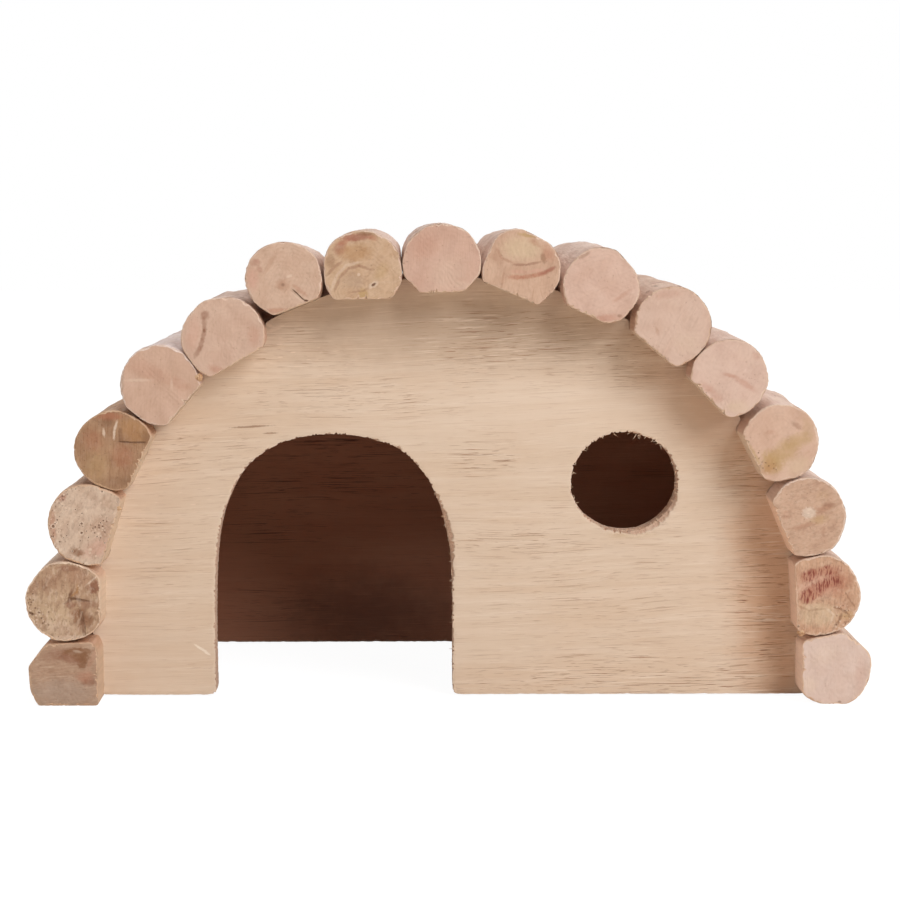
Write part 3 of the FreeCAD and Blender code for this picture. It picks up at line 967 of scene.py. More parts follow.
# The sawn ends: main and second colour, where the pith is, which way the fibres drag and how
# much of each effect, as in usualEnd where nothing is said. Marks are x, z, half length, half
# height, turn, tint, strength and softness, zones of pits the first four of these and bands of
# dark fibre the first five; lines are a tint, a strength, a width and their corners. Places are
# in mm from the middle of the front end.
usualEnd = {"mottle": 0, "crumbs": 0.3, "fibre": 0.08, "saw": 0.1, "ring": 0.03,
            "pores": 0.04, "pits": 0, "lines": [], "zones": [], "bands": []}
sawnEnds = {
    1: {"base": (188, 158, 135), "second": (172, 140, 117), "pith": (-2, -3), "turn": 3,
        "mottle": 0.16,
        "crumbs": 0.2, "fibre": 0.25, "saw": 0.45, "ring": 0.05, "pores": 0.3, "marks": [
            (-1, -4.8, 8, 3.2, 0, "ash", 0.75, 0.6), (-2, 4.6, 3.6, 1.5, 10, "stain", 0.45, 0.5),
            (2.7, 5.2, 3.6, 1, 0, "brown", 0.85, 0.3), (3.5, 4, 2.4, 1.2, 0, "brown", 0.9, 0.3),
            (3.8, 2.6, 1.3, 1.5, 0, "brown", 0.85, 0.3), (0.4, 3.6, 2.8, 1, -25, "stain", 0.6, 0.4),
            (6.2, 3.6, 2.6, 0.6, 66, "shade", 0.6, 0.4),
            (5.4, -2.1, 1.7, 0.9, 8, "stain", 0.65, 0.4),
            (4.3, -0.8, 1.9, 1.2, 10, "rust", 0.4, 0.6), (2.7, 5.3, 1, 0.3, -10, "pale", 0.4, 0.6)],
        "lines": [("pale", 0.4, 0.2, [(-5.8, 1.5), (-2.6, 1.6)]),
                  ("pale", 0.35, 0.18, [(-5, -0.9), (1, -0.7)])]},
    2: {"base": (196, 166, 138), "second": (176, 142, 114), "pith": (1.4, 0.9), "turn": 86,
        "mottle": 0.62, "crumbs": 1.3, "fibre": 0.35, "saw": 0.2, "ring": 0.1, "pores": 0.7,
        "pits": 0.05,
        "zones": [(-6.8, -3.8, 3.2, 3.6), (-8.6, 0.5, 0.9, 4), (-4.4, -8, 2.6, 1)], "marks": [
            (-3.4, -3.2, 4.6, 4.4, 0, "cream", 0.6, 0.7), (-2, -6.2, 4, 1.6, 0, "pale", 0.35, 0.7),
            (-3.6, 4.8, 3.4, 1.6, 20, "stain", 0.3, 0.6),
            (3.6, 5.4, 3.6, 1.8, -20, "shade", 0.4, 0.6),
            (3, -3.7, 1.5, 2, 0, "brown", 0.8, 0.35), (5.3, -4.4, 1.1, 1.6, 0, "brown", 0.75, 0.35),
            (5, -0.4, 2.4, 1, -8, "stain", 0.5, 0.5), (0.9, 1.2, 0.5, 1.3, -12, "umber", 0.9, 0.4),
            (2.2, 0.7, 1.5, 0.35, -8, "umber", 0.8, 0.4),
            (0.6, 0.1, 1.3, 0.35, 28, "umber", 0.7, 0.4),
            (2, 2, 1.3, 0.3, 40, "ochre", 0.7, 0.4), (0.9, -0.8, 1.2, 0.8, 0, "stain", 0.65, 0.4),
            (6.6, 3.5, 1.2, 1.6, -15, "stain", 0.95, 0.25), (0.8, 8, 3, 0.7, 0, "stain", 0.65, 0.4),
            (0.4, -8.6, 4.2, 0.5, 0, "pale", 0.5, 0.5),
            (2.6, 2.8, 0.35, 1.3, 0, "ochre", 0.6, 0.4)],
        "lines": [("pale", 0.8, 0.42, [(4.9, 4.1), (7.3, 6.1)]),
                  ("umber", 0.7, 0.4, [(2, 0.6), (5.2, 0.1)]),
                  ("umber", 0.6, 0.9, [(3.3, -2.6), (3.8, -5), (4.2, -8)]),
                  ("umber", 0.8, 0.4, [(-9, -2.6), (-8, -3)])]},
    3: {"base": (217, 194, 174), "second": (207, 180, 158), "pith": (0.5, -1), "turn": 70,
        "mottle": 0.36, "crumbs": 1.1, "pores": 0.5, "pits": 1.2,
        "zones": [(3.2, -0.6, 2.9, 3), (-8.2, 0, 1.4, 6.4), (-6.4, 6.4, 1.8, 1.8)], "marks": [
            (3.3, -0.6, 2.6, 2.6, 0, "shade", 0.4, 0.6), (-8.7, 0, 0.7, 4, 4, "rust", 0.45, 0.6),
            (-6.5, 6.7, 1, 1.1, -40, "red", 0.6, 0.5),
            (-2.8, -6.6, 1.6, 0.9, -12, "brown", 0.8, 0.4),
            (2.2, -5.6, 3.4, 1.9, 20, "pink", 0.6, 0.6), (-3.4, 3, 3, 3.4, 0, "pale", 0.35, 0.7)]},
    4: {"base": (178, 142, 111), "second": (158, 122, 93), "pith": (-3, -5), "turn": 88,
        "mottle": 0.12,
        "crumbs": 0.5, "fibre": 0.65, "ring": 0.05, "pores": 0.5, "marks": [
            (4.7, 4.9, 3.4, 2.5, -30, "ochre", 0.5, 0.5),
            (1.4, 3.8, 0.5, 1.8, 0, "umber", 0.45, 0.5),
            (-1.2, 8.2, 2.8, 0.9, 0, "rust", 0.55, 0.5), (-1.6, 6.8, 1.4, 1, 0, "umber", 0.35, 0.5),
            (1.9, -1.4, 2.4, 2.7, 0, "rust", 0.35, 0.6),
            (-4.4, -3.6, 2.6, 3.4, 0, "olive", 0.35, 0.6),
            (-5.2, 2.6, 2, 2.6, 20, "rust", 0.3, 0.6), (7.4, 3.4, 1.2, 1.6, 0, "umber", 0.35, 0.5),
            (-2.5, 4.3, 0.35, 1, 6, "pale", 0.7, 0.4), (1, -7.4, 5, 1.2, 0, "umber", 0.25, 0.6)],
        "lines": [("pale", 0.85, 0.6, [(-0.1, 3), (0, 4.8), (0.6, 6.8)]),
                  ("umber", 0.8, 0.34, [(1.3, 2.2), (4.2, 2), (7.4, 2)])]},
    5: {"base": (211, 178, 158), "second": (204, 170, 149), "pith": (4, -9), "turn": 86,
        "saw": 0.14,
        "pores": 0.02, "marks": [
            (-2.6, 3.4, 5.6, 1.8, -22, "rust", 0.2, 0.7),
            (4.8, 0.2, 2.2, 1.3, -20, "rust", 0.2, 0.7),
            (-9, 0.4, 0.5, 4.4, -4, "ash", 0.5, 0.5), (-5.2, 1.2, 3, 0.35, 2, "pale", 0.4, 0.6),
            (2.8, 0.2, 0.3, 1.4, 0, "pale", 0.35, 0.6)]},
    6: {"base": (215, 185, 166), "second": (207, 174, 155), "pith": (6, -2), "turn": 84,
        "fibre": 0.1,
        "saw": 0.14, "ring": 0.05, "marks": [
            (-4.2, 5.3, 1, 1, 15, "stain", 0.6, 0.5), (-6.8, 1, 1.4, 3.8, -8, "pink", 0.4, 0.6),
            (-4.4, 1.7, 0.35, 0.45, 0, "umber", 0.7, 0.4),
            (7.4, 0.6, 1.4, 2.2, 0, "rust", 0.28, 0.6),
            (-1.4, -7.6, 2, 0.8, -20, "rust", 0.3, 0.6)],
        "lines": [("stain", 0.5, 1.1,
                   [(-4.4, 4.6), (-4.3, 1.8), (-4.8, -0.4), (-5.4, -2.4), (-6.4, -4.2)])]},
    7: {"base": (215, 185, 164), "second": (206, 173, 151), "pith": (-0.4, -1.2), "turn": 60,
        "mottle": 0.08, "saw": 0.12, "ring": 0.1, "pores": 0.12, "marks": [
            (-0.5, -1, 1.5, 1.3, 0, "shade", 0.55, 0.5),
            (-0.4, -1.1, 0.4, 0.35, 0, "umber", 0.5, 0.5),
            (3.6, -2.4, 1.8, 0.5, -38, "rust", 0.3, 0.6),
            (5.4, -5.1, 0.8, 0.4, -30, "dark", 0.9, 0.4),
            (-6.9, 4.2, 1.2, 0.8, 0, "red", 0.4, 0.5), (-5.9, 2.6, 0.6, 0.9, 30, "red", 0.35, 0.5),
            (-7.6, 0.4, 1.4, 2.6, 0, "pink", 0.6, 0.6), (-1.6, -7.2, 3, 0.6, 0, "rust", 0.4, 0.6),
            (1.2, 1, 0.8, 0.3, 20, "pale", 0.5, 0.5),
            (-3.2, 4.4, 2.6, 0.5, 60, "shade", 0.35, 0.6)],
        "lines": [("dark", 0.85, 0.32, [(1.9, -2.2), (3.2, -3.4), (4.6, -4.7), (5.9, -5.2)]),
                  ("pale", 0.5, 0.3, [(1.7, -2.9), (4.2, -5.1)])]},
    8: {"base": (211, 181, 152), "second": (198, 164, 133), "pith": (-0.9, -4.2), "turn": 30,
        "mottle": 0.1, "crumbs": 0.4, "fibre": 0.12, "saw": 0.14, "ring": 0.2, "pores": 0.25,
        "marks": [
            (-1.4, 7.8, 3.4, 0.9, 4, "red", 0.75, 0.4), (0.9, 8.6, 1.8, 0.5, 0, "brown", 0.6, 0.5),
            (-5.2, 5.2, 1.3, 1.6, -30, "red", 0.55, 0.5),
            (-4.4, 6.6, 1.4, 0.6, 20, "rust", 0.5, 0.5),
            (2.6, 7.6, 1.2, 0.6, -10, "rust", 0.4, 0.5),
            (-1.6, 4.2, 3.6, 1.9, 4, "ochre", 0.5, 0.5),
            (-7.4, 2.2, 1, 1.6, 0, "brown", 0.4, 0.5), (-2, -2.6, 2.6, 1.8, 0, "ash", 0.3, 0.6),
            (0.3, -5.6, 1, 1.2, 10, "olive", 0.8, 0.4),
            (4.6, -0.4, 2.2, 1.2, 60, "olive", 0.4, 0.6),
            (2.7, -3.4, 1.3, 0.65, 32, "pale", 0.65, 0.3),
            (2.7, -3.4, 0.7, 0.28, 32, "dark", 0.9, 0.35),
            (-0.8, -1, 0.4, 0.35, 0, "pale", 0.6, 0.4),
            (2, -7, 5, 0.5, 0, "olive", 0.5, 0.6)],
        "lines": [("stain", 0.4, 0.7, [(-6.4, -4.6), (-5.2, -1.6), (-3.2, 0.4), (-0.6, 1),
                  (2, 0.2)]),
                  ("pale", 0.4, 0.7, [(-7.2, -4.4), (-6, -1.2), (-3.6, 1.2), (-0.6, 1.9)]),
                  ("stain", 0.4, 0.7, [(-8.4, -1.2), (-6.4, 0.9), (-5, 1.8)]),
                  ("stain", 0.35, 0.5, [(-2.6, -5.2), (0.2, -4.9), (1.4, -4.2)])]},
    9: {"base": (213, 178, 160), "second": (205, 168, 150), "pith": (2, -2), "turn": 88,
        "crumbs": 0.4,
        "fibre": 0.12, "saw": 0.14, "ring": 0.02, "pores": 0.02, "marks": [
            (1.6, -2.4, 4.2, 3.2, 20, "pale", 0.28, 0.7),
            (-4.4, 4.4, 3.4, 2.8, 40, "rust", 0.22, 0.7),
            (5.2, -5.2, 2.4, 1, 0, "pale", 0.25, 0.6)]},
    10: {"base": (213, 180, 157), "second": (201, 165, 142), "pith": (1, 4), "turn": 80,
         "mottle": 0.08,
         "fibre": 0.12, "ring": 0.05, "pores": 0.05, "marks": [
            (0.2, 4.8, 4.4, 2.6, -6, "cream", 0.75, 0.5), (1.6, 8, 2, 0.5, -8, "olive", 0.8, 0.5),
            (3.2, 6.2, 1.3, 0.6, -30, "rust", 0.35, 0.6),
            (5.3, 2.6, 0.6, 1.2, 12, "brown", 0.55, 0.5),
            (6.6, 3.6, 1.2, 2, 30, "rust", 0.35, 0.6), (6.6, -0.4, 1.6, 0.5, 28, "red", 0.5, 0.5),
            (-5.4, 2.4, 0.9, 1.8, 30, "shade", 0.4, 0.6)],
         "lines": [("shade", 0.6, 0.7, [(-5.6, 4.6), (-4.6, 2.6), (-2.4, 1.6)]),
                   ("stain", 0.5, 0.6, [(-1.6, 1), (1.4, 1), (4.4, 1.6)]),
                   ("rust", 0.5, 1.1, [(-2.6, -1.9), (0.4, -2), (3, -1.6), (5.4, -1)]),
                   ("red", 0.45, 0.9, [(4.6, -1.2), (6.4, -0.4), (7.8, 0.2)]),
                   ("pink", 0.5, 0.9, [(-2, -0.6), (2, -0.7), (5, -0.2)]),
                   ("shade", 0.45, 0.5, [(-4, -0.6), (-4.6, -4.4)]),
                   ("shade", 0.4, 0.3, [(3.2, -4.2), (2.6, -7.4)]),
                   ("shade", 0.35, 0.25, [(4.6, -4.6), (5.2, -7)])]},
    11: {"base": (220, 189, 173), "second": (211, 177, 160), "pith": (0, 2), "turn": 20,
         "fibre": 0.06,
         "ring": 0.06, "pores": 0.03, "marks": [
            (1.4, -7.6, 3.2, 0.9, 4, "rust", 0.4, 0.6), (4.3, -7, 0.5, 0.4, 0, "brown", 0.4, 0.5),
            (5, -2.2, 2.6, 0.5, 35, "rust", 0.22, 0.6),
            (-4, 7.4, 1.4, 0.5, 30, "brown", 0.4, 0.5)]},
    12: {"base": (218, 190, 174), "second": (210, 179, 162), "pith": (5, 3), "turn": 60,
         "crumbs": 0.4,
         "fibre": 0.05, "marks": [
            (-1.6, 7.6, 3, 1, 8, "rust", 0.22, 0.6), (3.6, -4, 3, 2.4, -30, "pale", 0.3, 0.7),
            (-3.6, -1.2, 0.4, 1, 20, "shade", 0.35, 0.6)]},
    13: {"base": (222, 194, 179), "second": (214, 183, 168), "pith": (-3, 4), "turn": 55,
         "crumbs": 0.4,
         "fibre": 0.05, "saw": 0.08, "marks": [
            (0.2, 0.9, 1.6, 0.45, -14, "rust", 0.35, 0.6),
            (3.8, -1.2, 2.8, 0.7, -32, "rust", 0.3, 0.6),
            (-5, -2.2, 1.8, 0.8, -30, "rust", 0.28, 0.6),
            (-2.8, -4.6, 1.2, 1, 0, "rust", 0.22, 0.6),
            (6.4, 5.6, 0.9, 1, 0, "rust", 0.2, 0.6), (2, -6.6, 2.4, 1.4, 0, "cream", 0.4, 0.7)]},
    14: {"base": (218, 186, 166), "second": (209, 174, 153), "pith": (0.6, 0.5), "turn": 40,
         "crumbs": 0.8, "fibre": 0.06, "saw": 0.08, "pores": 0.06, "marks": [
            (4.2, 0.6, 3, 1.5, 18, "olive", 0.6, 0.7),
            (1.4, -1.9, 2.8, 2.2, 40, "olive", 0.65, 0.7),
            (-1.8, -4.4, 2.4, 2.6, 25, "olive", 0.85, 0.6),
            (-2.6, -5.2, 1.2, 1.6, -20, "ochre", 0.45, 0.6),
            (6.6, 3.4, 1.4, 3, 10, "olive", 0.3, 0.7),
            (3.9, 4.2, 1.3, 0.6, -35, "stain", 0.4, 0.6),
            (-2.2, -6.3, 2.4, 1, 20, "ochre", 0.3, 0.6),
            (-6, -3.4, 0.7, 3.2, 28, "olive", 0.6, 0.5),
            (4.4, -5.4, 2.6, 1.8, 30, "cream", 0.5, 0.7),
            (-6.4, -4.2, 0.6, 3.4, 28, "pale", 0.7, 0.4),
            (-2.6, 2.6, 1.2, 0.5, 10, "rust", 0.2, 0.6)],
         "zones": [(-3.2, -5.7, 2.3, 1.3), (-5.6, -3, 0.7, 1.6)]},
    15: {"base": (209, 176, 153), "second": (199, 164, 141), "pith": (0.5, 1.2), "turn": 15,
         "mottle": 0.3, "crumbs": 0.6, "ring": 0.06, "pores": 0.4, "marks": [
            (3.7, 2, 2.4, 0.9, 24, "shade", 0.7, 0.7), (5.6, 2.9, 0.9, 0.5, 20, "stain", 0.4, 0.5),
            (2.8, -0.6, 2, 0.9, 14, "olive", 0.5, 0.7), (-1, -2.1, 2.8, 0.6, 12, "shade", 0.7, 0.7),
            (-5, 0.6, 1, 1, 0, "rust", 0.2, 0.6), (3.6, 5.4, 1.6, 0.9, 20, "olive", 0.2, 0.7),
            (4, -3.4, 0.4, 1.4, 0, "shade", 0.4, 0.6),
            (0.4, 1.1, 1.6, 1.3, 0, "white", 0.6, 0.35)]},
    16: {"base": (212, 173, 145), "second": (200, 156, 129), "pith": (2, -1), "turn": 88,
         "mottle": 0.34, "crumbs": 0.9, "fibre": 0.45, "saw": 0.06, "ring": 0.2, "pores": 0.4,
         "marks": [
            (4.4, 3.2, 2.6, 3, 0, "rust", 0.55, 0.6), (-1, 2.6, 4.4, 3, 12, "pink", 0.6, 0.6),
            (-0.6, -4.6, 4.6, 2.6, 0, "cream", 0.75, 0.5),
            (6.4, -4.8, 1.6, 1, 0, "olive", 0.5, 0.6)],
         "lines": [("brown", 0.7, 0.6, [(3.4, -2.8), (4.8, -3.2), (6.6, -4.4)]),
                   ("brown", 0.65, 0.7, [(5, -4.6), (4.6, -6), (3.4, -7.6)]),
                   ("brown", 0.4, 0.4, [(6, 0.6), (7.4, -1.6), (8.2, -2.6)]),
                   ("brown", 0.3, 0.5, [(-5.6, -2.4), (-2.6, -3.6), (1, -3.2)]),
                   ("pale", 0.5, 0.5, [(1.6, -3.2), (3.2, -4.6), (2.4, -6.8)])],
         "zones": [(5.4, -3.4, 2.2, 1.1), (4.6, -6.2, 1.3, 2), (7, -4.6, 1, 1.6),
                   (-4.6, -7, 1.4, 1)],
         "bands": [(-2.8, 4.7, 2.3, 1.3, 22), (1.8, 6, 3, 1.1, 4), (-3.2, -0.2, 1.8, 1.6, 18),
                   (-0.6, 1.6, 2.4, 1.7, 24), (2.6, 3.2, 2.4, 1.3, 18)]},
    17: {"base": (223, 201, 190), "second": (216, 191, 178), "pith": (2, -4), "turn": 88,
         "crumbs": 0.35, "fibre": 0.05, "saw": 0.12, "ring": 0.02, "pores": 0.02, "marks": [
            (-2, 3.4, 3.4, 2, 20, "pale", 0.25, 0.7), (6.6, -2, 1.2, 4, 0, "rust", 0.16, 0.7),
            (1.6, -8.2, 0.4, 0.3, 0, "brown", 0.5, 0.5),
            (-5.6, -4, 1.6, 1.8, 0, "pale", 0.4, 0.6)]},
}


def makeEndMaterial(n):
    look, shift = {**usualEnd, **sawnEnds[n]}, branches[n]["shift"]
    material, place = startMaterial(f"sawn end {n:02d}")

    def mark(x, z, long, high, degrees, softness, ragged=0.55, grain=1.3):
        centre = shift[0] + x, -logHalf, shift[1] + z
        return markAt(place, centre, long, high, degrees, softness, ragged, grain)

    pith = shift[0] + look["pith"][0], 0, shift[1] + look["pith"][1]
    broad = blotchesAt(place, 5.5, 0.38, 0.66, n)
    small = blotchesAt(place, 1.6, 0.3, 0.75, n + 40)
    fine = blotchesAt(place, 0.5, 0.35, 0.7, n + 80)
    ring = useGroup(rings, Place=place, Centre=pith, Spacing=1.3, Wobble=2.6, Rays=8)
    dragged = rotated(place, math.radians(look["turn"]))
    fibre = streaksAt(dragged, 3.6, 0.3, 1.6, 0.48, 0.16, n * 3.7)
    crosscut = rotated(place, math.radians(look["turn"] + 4))
    sawn = streaksAt(crosscut, 22, 0.26, 0.5, 0.5, 0.16, n * 5.3)
    colour = blend(times(broad["Mask"], 0.75), paint(*look["base"]), paint(*look["second"]))
    colour = coat(colour, "stain", ring["Ring"], times(small["Mask"], 0.06 + look["ring"]))
    colour = coat(colour, "pale", ring["Ray"], look["ring"] * 0.4)
    colour = coat(colour, "brown", fibre["Mask"], look["fibre"] * 0.6)
    colour = coat(colour, "pale", sawn["Mask"], look["saw"] * 0.35)
    uneven = sloped(small["Value"], 0.7, 0.65)
    for number, (x, z, long, high, turn, tint, strength, softness) in enumerate(look["marks"]):
        spot = mark(x, z, long, high, turn, softness, grain=1.1 + 0.07 * number)
        colour = coat(colour, tint, times(spot, uneven), strength)
    cracks = 0.0
    for tint, strength, width, corners in look["lines"]:
        for (x1, z1), (x2, z2) in zip(corners, corners[1:]):
            half = math.hypot(x2 - x1, z2 - z1) / 2 + width * 0.4
            degrees = math.degrees(math.atan2(z2 - z1, x2 - x1))
            line = mark((x1 + x2) / 2, (z1 + z2) / 2, half, width / 2, degrees, 0.5, 0.7, 1.9)
            colour = coat(colour, tint, line, strength)
            if tint in ("dark", "umber"):
                cracks = calc("MAXIMUM", cracks, line)
    if look["mottle"]:
        drawn = vecCalc("MULTIPLY", dragged, (0.55, 1, 1))
        for tint, size, seed in (("stain", 2.2, 120), ("pale", 1.2, 140), ("umber", 0.8, 160)):
            cloud = blotchesAt(drawn, size, 0.5, 0.62, n + seed)
            colour = coat(colour, tint, cloud["Mask"], look["mottle"] * 0.5)
    if look["bands"]:
        upright = streaksAt(dragged, 2.4, 0.34, 1, 0.46, 0.12, 3.3)
        for x, z, long, high, turn in look["bands"]:
            band = mark(x, z, long, high, turn, 0.45)
            colour = coat(colour, "rust", band, 0.5)
            colour = coat(colour, "brick", band, upright["Mask"])
    pores = specksAt(place, 0.7, 0.3, 0.1 + 0.25 * look["pores"], n)
    pitShare = look["pits"] * 0.7
    pits = specksAt(place, 1.5, 0.24, pitShare, n + 9)
    colour = coat(colour, "pale", specksAt(place, 1.5, 0.44, pitShare, n + 9), 0.8)
    for number, (x, z, long, high) in enumerate(look["zones"]):
        crowd = specksAt(dragged, 0.7, 0.4, 0.6, n + 11 + number)
        chips = specksAt(place, 0.8, 0.45, 0.5, n + 31 + number)
        zone = mark(x, z, long, high, 0, 0.5)
        colour = coat(colour, "pale", times(chips, zone), 0.7)
        pits = calc("MAXIMUM", pits, times(times(crowd, zone), 0.8))
    colour = coat(colour, "brown", pores, 0.1 + 0.4 * look["pores"])
    colour = coat(colour, "umber", pits, 0.85)
    colour = coat(colour, "shade", fine["Mask"], 0.05 + 0.16 * look["pores"])
    crumbs = look["crumbs"]
    frayed = wearAt(place, 0.12 + 0.16 * crumbs, 0.9, 2.6)
    colour = coat(colour, "pale", frayed, 0.5 + 0.4 * crumbs)
    # dark crumbs just inside the rim, their brown partly painted shadow of the crumbs
    crumbsAndShade = specksAt(place, 0.6, 0.5, 0.5 * crumbs + 0.1, n + 13)
    crumbsAndShade = times(crumbsAndShade, ramp(attribute("edge"), 0.55, 0.9))
    colour = coat(colour, "brown", crumbsAndShade, 0.3 + 0.5 * crumbs)
    height = sloped(sawn["Value"], look["saw"], times(fibre["Value"], 0.7))
    height = sloped(fine["Value"], 0.4 + look["pores"], height)
    for hollow, depth in ((pores, 0.9), (pits, 2.6), (cracks, 2.6), (crumbsAndShade, 1.6)):
        height = minus(height, times(hollow, depth))
    finishMaterial(colour, sloped(small["Value"], 0.12, 0.74), height, 0.09)
    return material


# the debarked rounds: main and second colour, how much bast is left on them, and for some the
# colour of the sawn seat flat, lighter on logs 15 to 17 as painted light on strips turned away from
# the key lamp and darker on log 1 as painted shade on a strip turned towards it
rounds = {
    "usual": {"base": (233, 208, 194), "second": (215, 184, 168), "bast": 0.3},
    1: {"base": (222, 188, 160), "second": (198, 158, 130), "bast": 0.5, "seatAndPaintedLight": (214, 186, 160)},
    2: {"base": (250, 226, 204), "second": (228, 196, 172), "bast": 0.3, "seatAndPaintedLight": (232, 208, 184)},
    3: {"base": (230, 196, 170), "second": (208, 170, 142), "bast": 0.35},
    4: {"base": (206, 168, 136), "second": (178, 136, 106), "bast": 0.7},
    5: {"base": (240, 224, 220), "second": (224, 200, 192), "bast": 0.2},
    12: {"base": (222, 194, 176), "second": (204, 170, 150), "bast": 0.4,
         "spots": [(123, -49, 1, "shade"), (123, -49, 0.8, "dark"), (104, -42, 0.8, "dark"),
                   (71, -52, 0.9, "dark")]},
    15: {"base": (238, 218, 206), "second": (222, 194, 178), "bast": 0.2, "seatAndPaintedLight": (250, 214, 188)},
    16: {"base": (236, 210, 194), "second": (218, 186, 168), "bast": 0.3, "seatAndPaintedLight": (246, 212, 190)},
    17: {"base": (240, 214, 196), "second": (224, 192, 170), "bast": 0.2, "seatAndPaintedLight": (255, 227, 209)},
}


def makeSideMaterial(n):
    look = rounds.get(n, rounds["usual"])
    reach = packed[n]["radius"]
    material, place = startMaterial(f"debarked round {n:02d}")
    axes = axesOf(place)
    along = spotAt(axes["Y"], axes["X"], axes["Z"])
    drawn = vecCalc("MULTIPLY", place, (1, 0.3, 1))
    broad = blotchesAt(drawn, 6, 0.36, 0.66, n)
    bast = blotchesAt(drawn, 3.4, 0.5, 0.6, n + 20)
    thin = streaksAt(along, 16, 0.5, 2, 0.48, 0.2, n * 2.3)
    hair = streaksAt(along, 5, 0.22, 1, 0.56, 0.1, n * 4.1)
    scraped = streaksAt(along, 12, 2.2, 4, 0.56, 0.06, n * 6.7)
    planed = streaksAt(along, 22, 0.6, 3, 0.48, 0.2, n * 8.9)
    colour = blend(times(broad["Mask"], 0.8), paint(*look["base"]), paint(*look["second"]))
    colour = coat(colour, "brown", thin["Mask"], 0.14)
    colour = coat(colour, "shade", bast["Mask"], look["bast"] * 0.6)
    colour = coat(colour, "pale", scraped["Mask"], 0.3)
    colour = coat(colour, "brown", hair["Mask"], 0.16)
    colour = coat(colour, "dark", specksAt(drawn, 1.1, 0.28, 0.06, n), 0.5)
    for turn, y, width in knotsOf(n):
        spot = reach * math.cos(turn), y, reach * math.sin(turn)
        away = vecCalc("LENGTH", vecCalc("SUBTRACT", place, spot))
        away = plus(away, times(bast["Value"], 1.6))
        for grow, tint, strength in ((1.25, "red", 0.5), (0.55, "dark", 0.75)):
            colour = coat(colour, tint, ramp(away, grow * width + 0.9, grow * width), strength)
    for degrees, y, size, tint in look.get("spots", []):
        turn = math.radians(degrees)
        spot = reach * math.cos(turn), y, reach * math.sin(turn)
        colour = coat(colour, tint, markAt(place, spot, size, size, 0, 0.4, 0.8, 1.6), 0.85)
    # the side turned into the house keeps its bast, a warm brown that is also painted shade in the
    # valleys between the logs
    inward = math.radians(packed[n]["seatTurn"])
    inside = vecCalc("DOT_PRODUCT", place, (math.cos(inward), 0, math.sin(inward)))
    colour = coat(colour, "bast", ramp(over(inside, reach), 0.2, 0.65), 0.45)
    # the seat flats, with painted light on logs 15 to 17 and painted shade on log 1
    seatTone = look.get("seatAndPaintedLight", (226, 204, 180))
    seatAndPaintedLight = blend(times(planed["Mask"], 0.5), paint(*seatTone), paint(*[0.93 * part for part in seatTone]))
    colour = blend(times(attribute("flat"), 0.9), colour, seatAndPaintedLight)
    colour = coat(colour, "cream", wearAt(place, 0.3, 0.8, 1.9), 0.35)
    height = sloped(hair["Value"], 0.7, thin["Value"])
    height = sloped(scraped["Mask"], -0.25, height)
    finishMaterial(colour, sloped(broad["Value"], 0.2, 0.58), height, 0.14)
    return material


# the plywood's faces: colours, how far the grain leans, bands of denser grain (x, z, half
# length, half height and strength) and marks as on the sawn ends; places are in mm from the
# middle of the floor
plywood = {
    "base": (222, 201, 180), "warm": (217, 192, 168), "light": (236, 219, 202),
    "grain": (188, 150, 118), "pore": (144, 88, 50), "lean": 1.8, "seed": 3,
    "bands": [(45, 4, 42, 6, 0.9), (14, 86, 20, 9, 0.8), (48, 83, 16, 7, 0.9),
              (-60, 60, 17, 5, 0.8),
              (77, 20, 9, 22, 1), (23, 38, 24, 3, 0.7), (8, 58, 9, 4, 0.9), (-36, 84, 14, 7, 0.5),
              (74, 54, 9, 8, 0.8), (30, 22, 26, 4, 0.5), (-24, 73, 30, 5, 0.6),
              (-68, 36, 12, 16, 0.35),
              (40, 30, 34, 20, 0.35)],
    # the first four marks are painted shade: warm brown along the right edge and under the logs at
    # the upper right, greyer under the logs at the top
    "marks": [(78.5, 30, 8, 36, 4, "tan", 0.6, 0.8), (62, 72, 18, 9, -45, "tan", 0.5, 0.9),
              (6, 90, 46, 9, 0, "drab", 0.55, 0.9), (62, 80, 12, 7, -45, "drab", 0.4, 0.9),
              (45, 0, 42, 0.35, 0, "brown", 0.5, 0.5),
              (-60.1, 11.8, 2.2, 0.3, -32, "white", 0.8, 0.3),
              (-58.6, 10.6, 0.8, 0.2, -24, "white", 0.8, 0.3),
              (-47.4, 66, 4.6, 0.25, 3, "brown", 0.7, 0.4),
              (-43, 64.4, 1.6, 0.2, 2, "brown", 0.6, 0.4),
              (-41.7, 89.7, 2.4, 0.5, 25, "pale", 0.7, 0.5),
              (-43.4, 90.6, 1.2, 0.35, -20, "pale", 0.7, 0.5),
              (44.4, 39.6, 5, 0.8, 2, "olive", 0.35, 0.6),
              (20, 70, 40, 8, 0, "light", 0.35, 0.9)],
    "flecks": [(-36, 83, 11, 6), (-67, 42, 8, 14), (-58, 52, 8, 6)],
}
# the untreated faces inside the house, of redder wood and darker still: painted shade for the
# shut-in inside of the house
shadedInnerPly = {
    "base": (190, 130, 102), "warm": (180, 116, 88), "light": (196, 138, 110),
    "grain": (146, 90, 64), "pore": (92, 50, 36), "lean": 0.4, "seed": 47,
    "bands": [(-28, 58, 26, 9, 0.9), (-30, 44, 30, 4, 1), (-44, 34, 12, 5, 1),
              (-46, 10, 12, 6, 0.7)],
    # the marks paint the inside's light: darker low down, lighter on the left
    "marks": [(-20, 9, 18, 9, 0, "pore", 0.6, 0.9), (-52, 30, 8, 26, 0, "light", 0.6, 0.9)],
    "flecks": [],
}


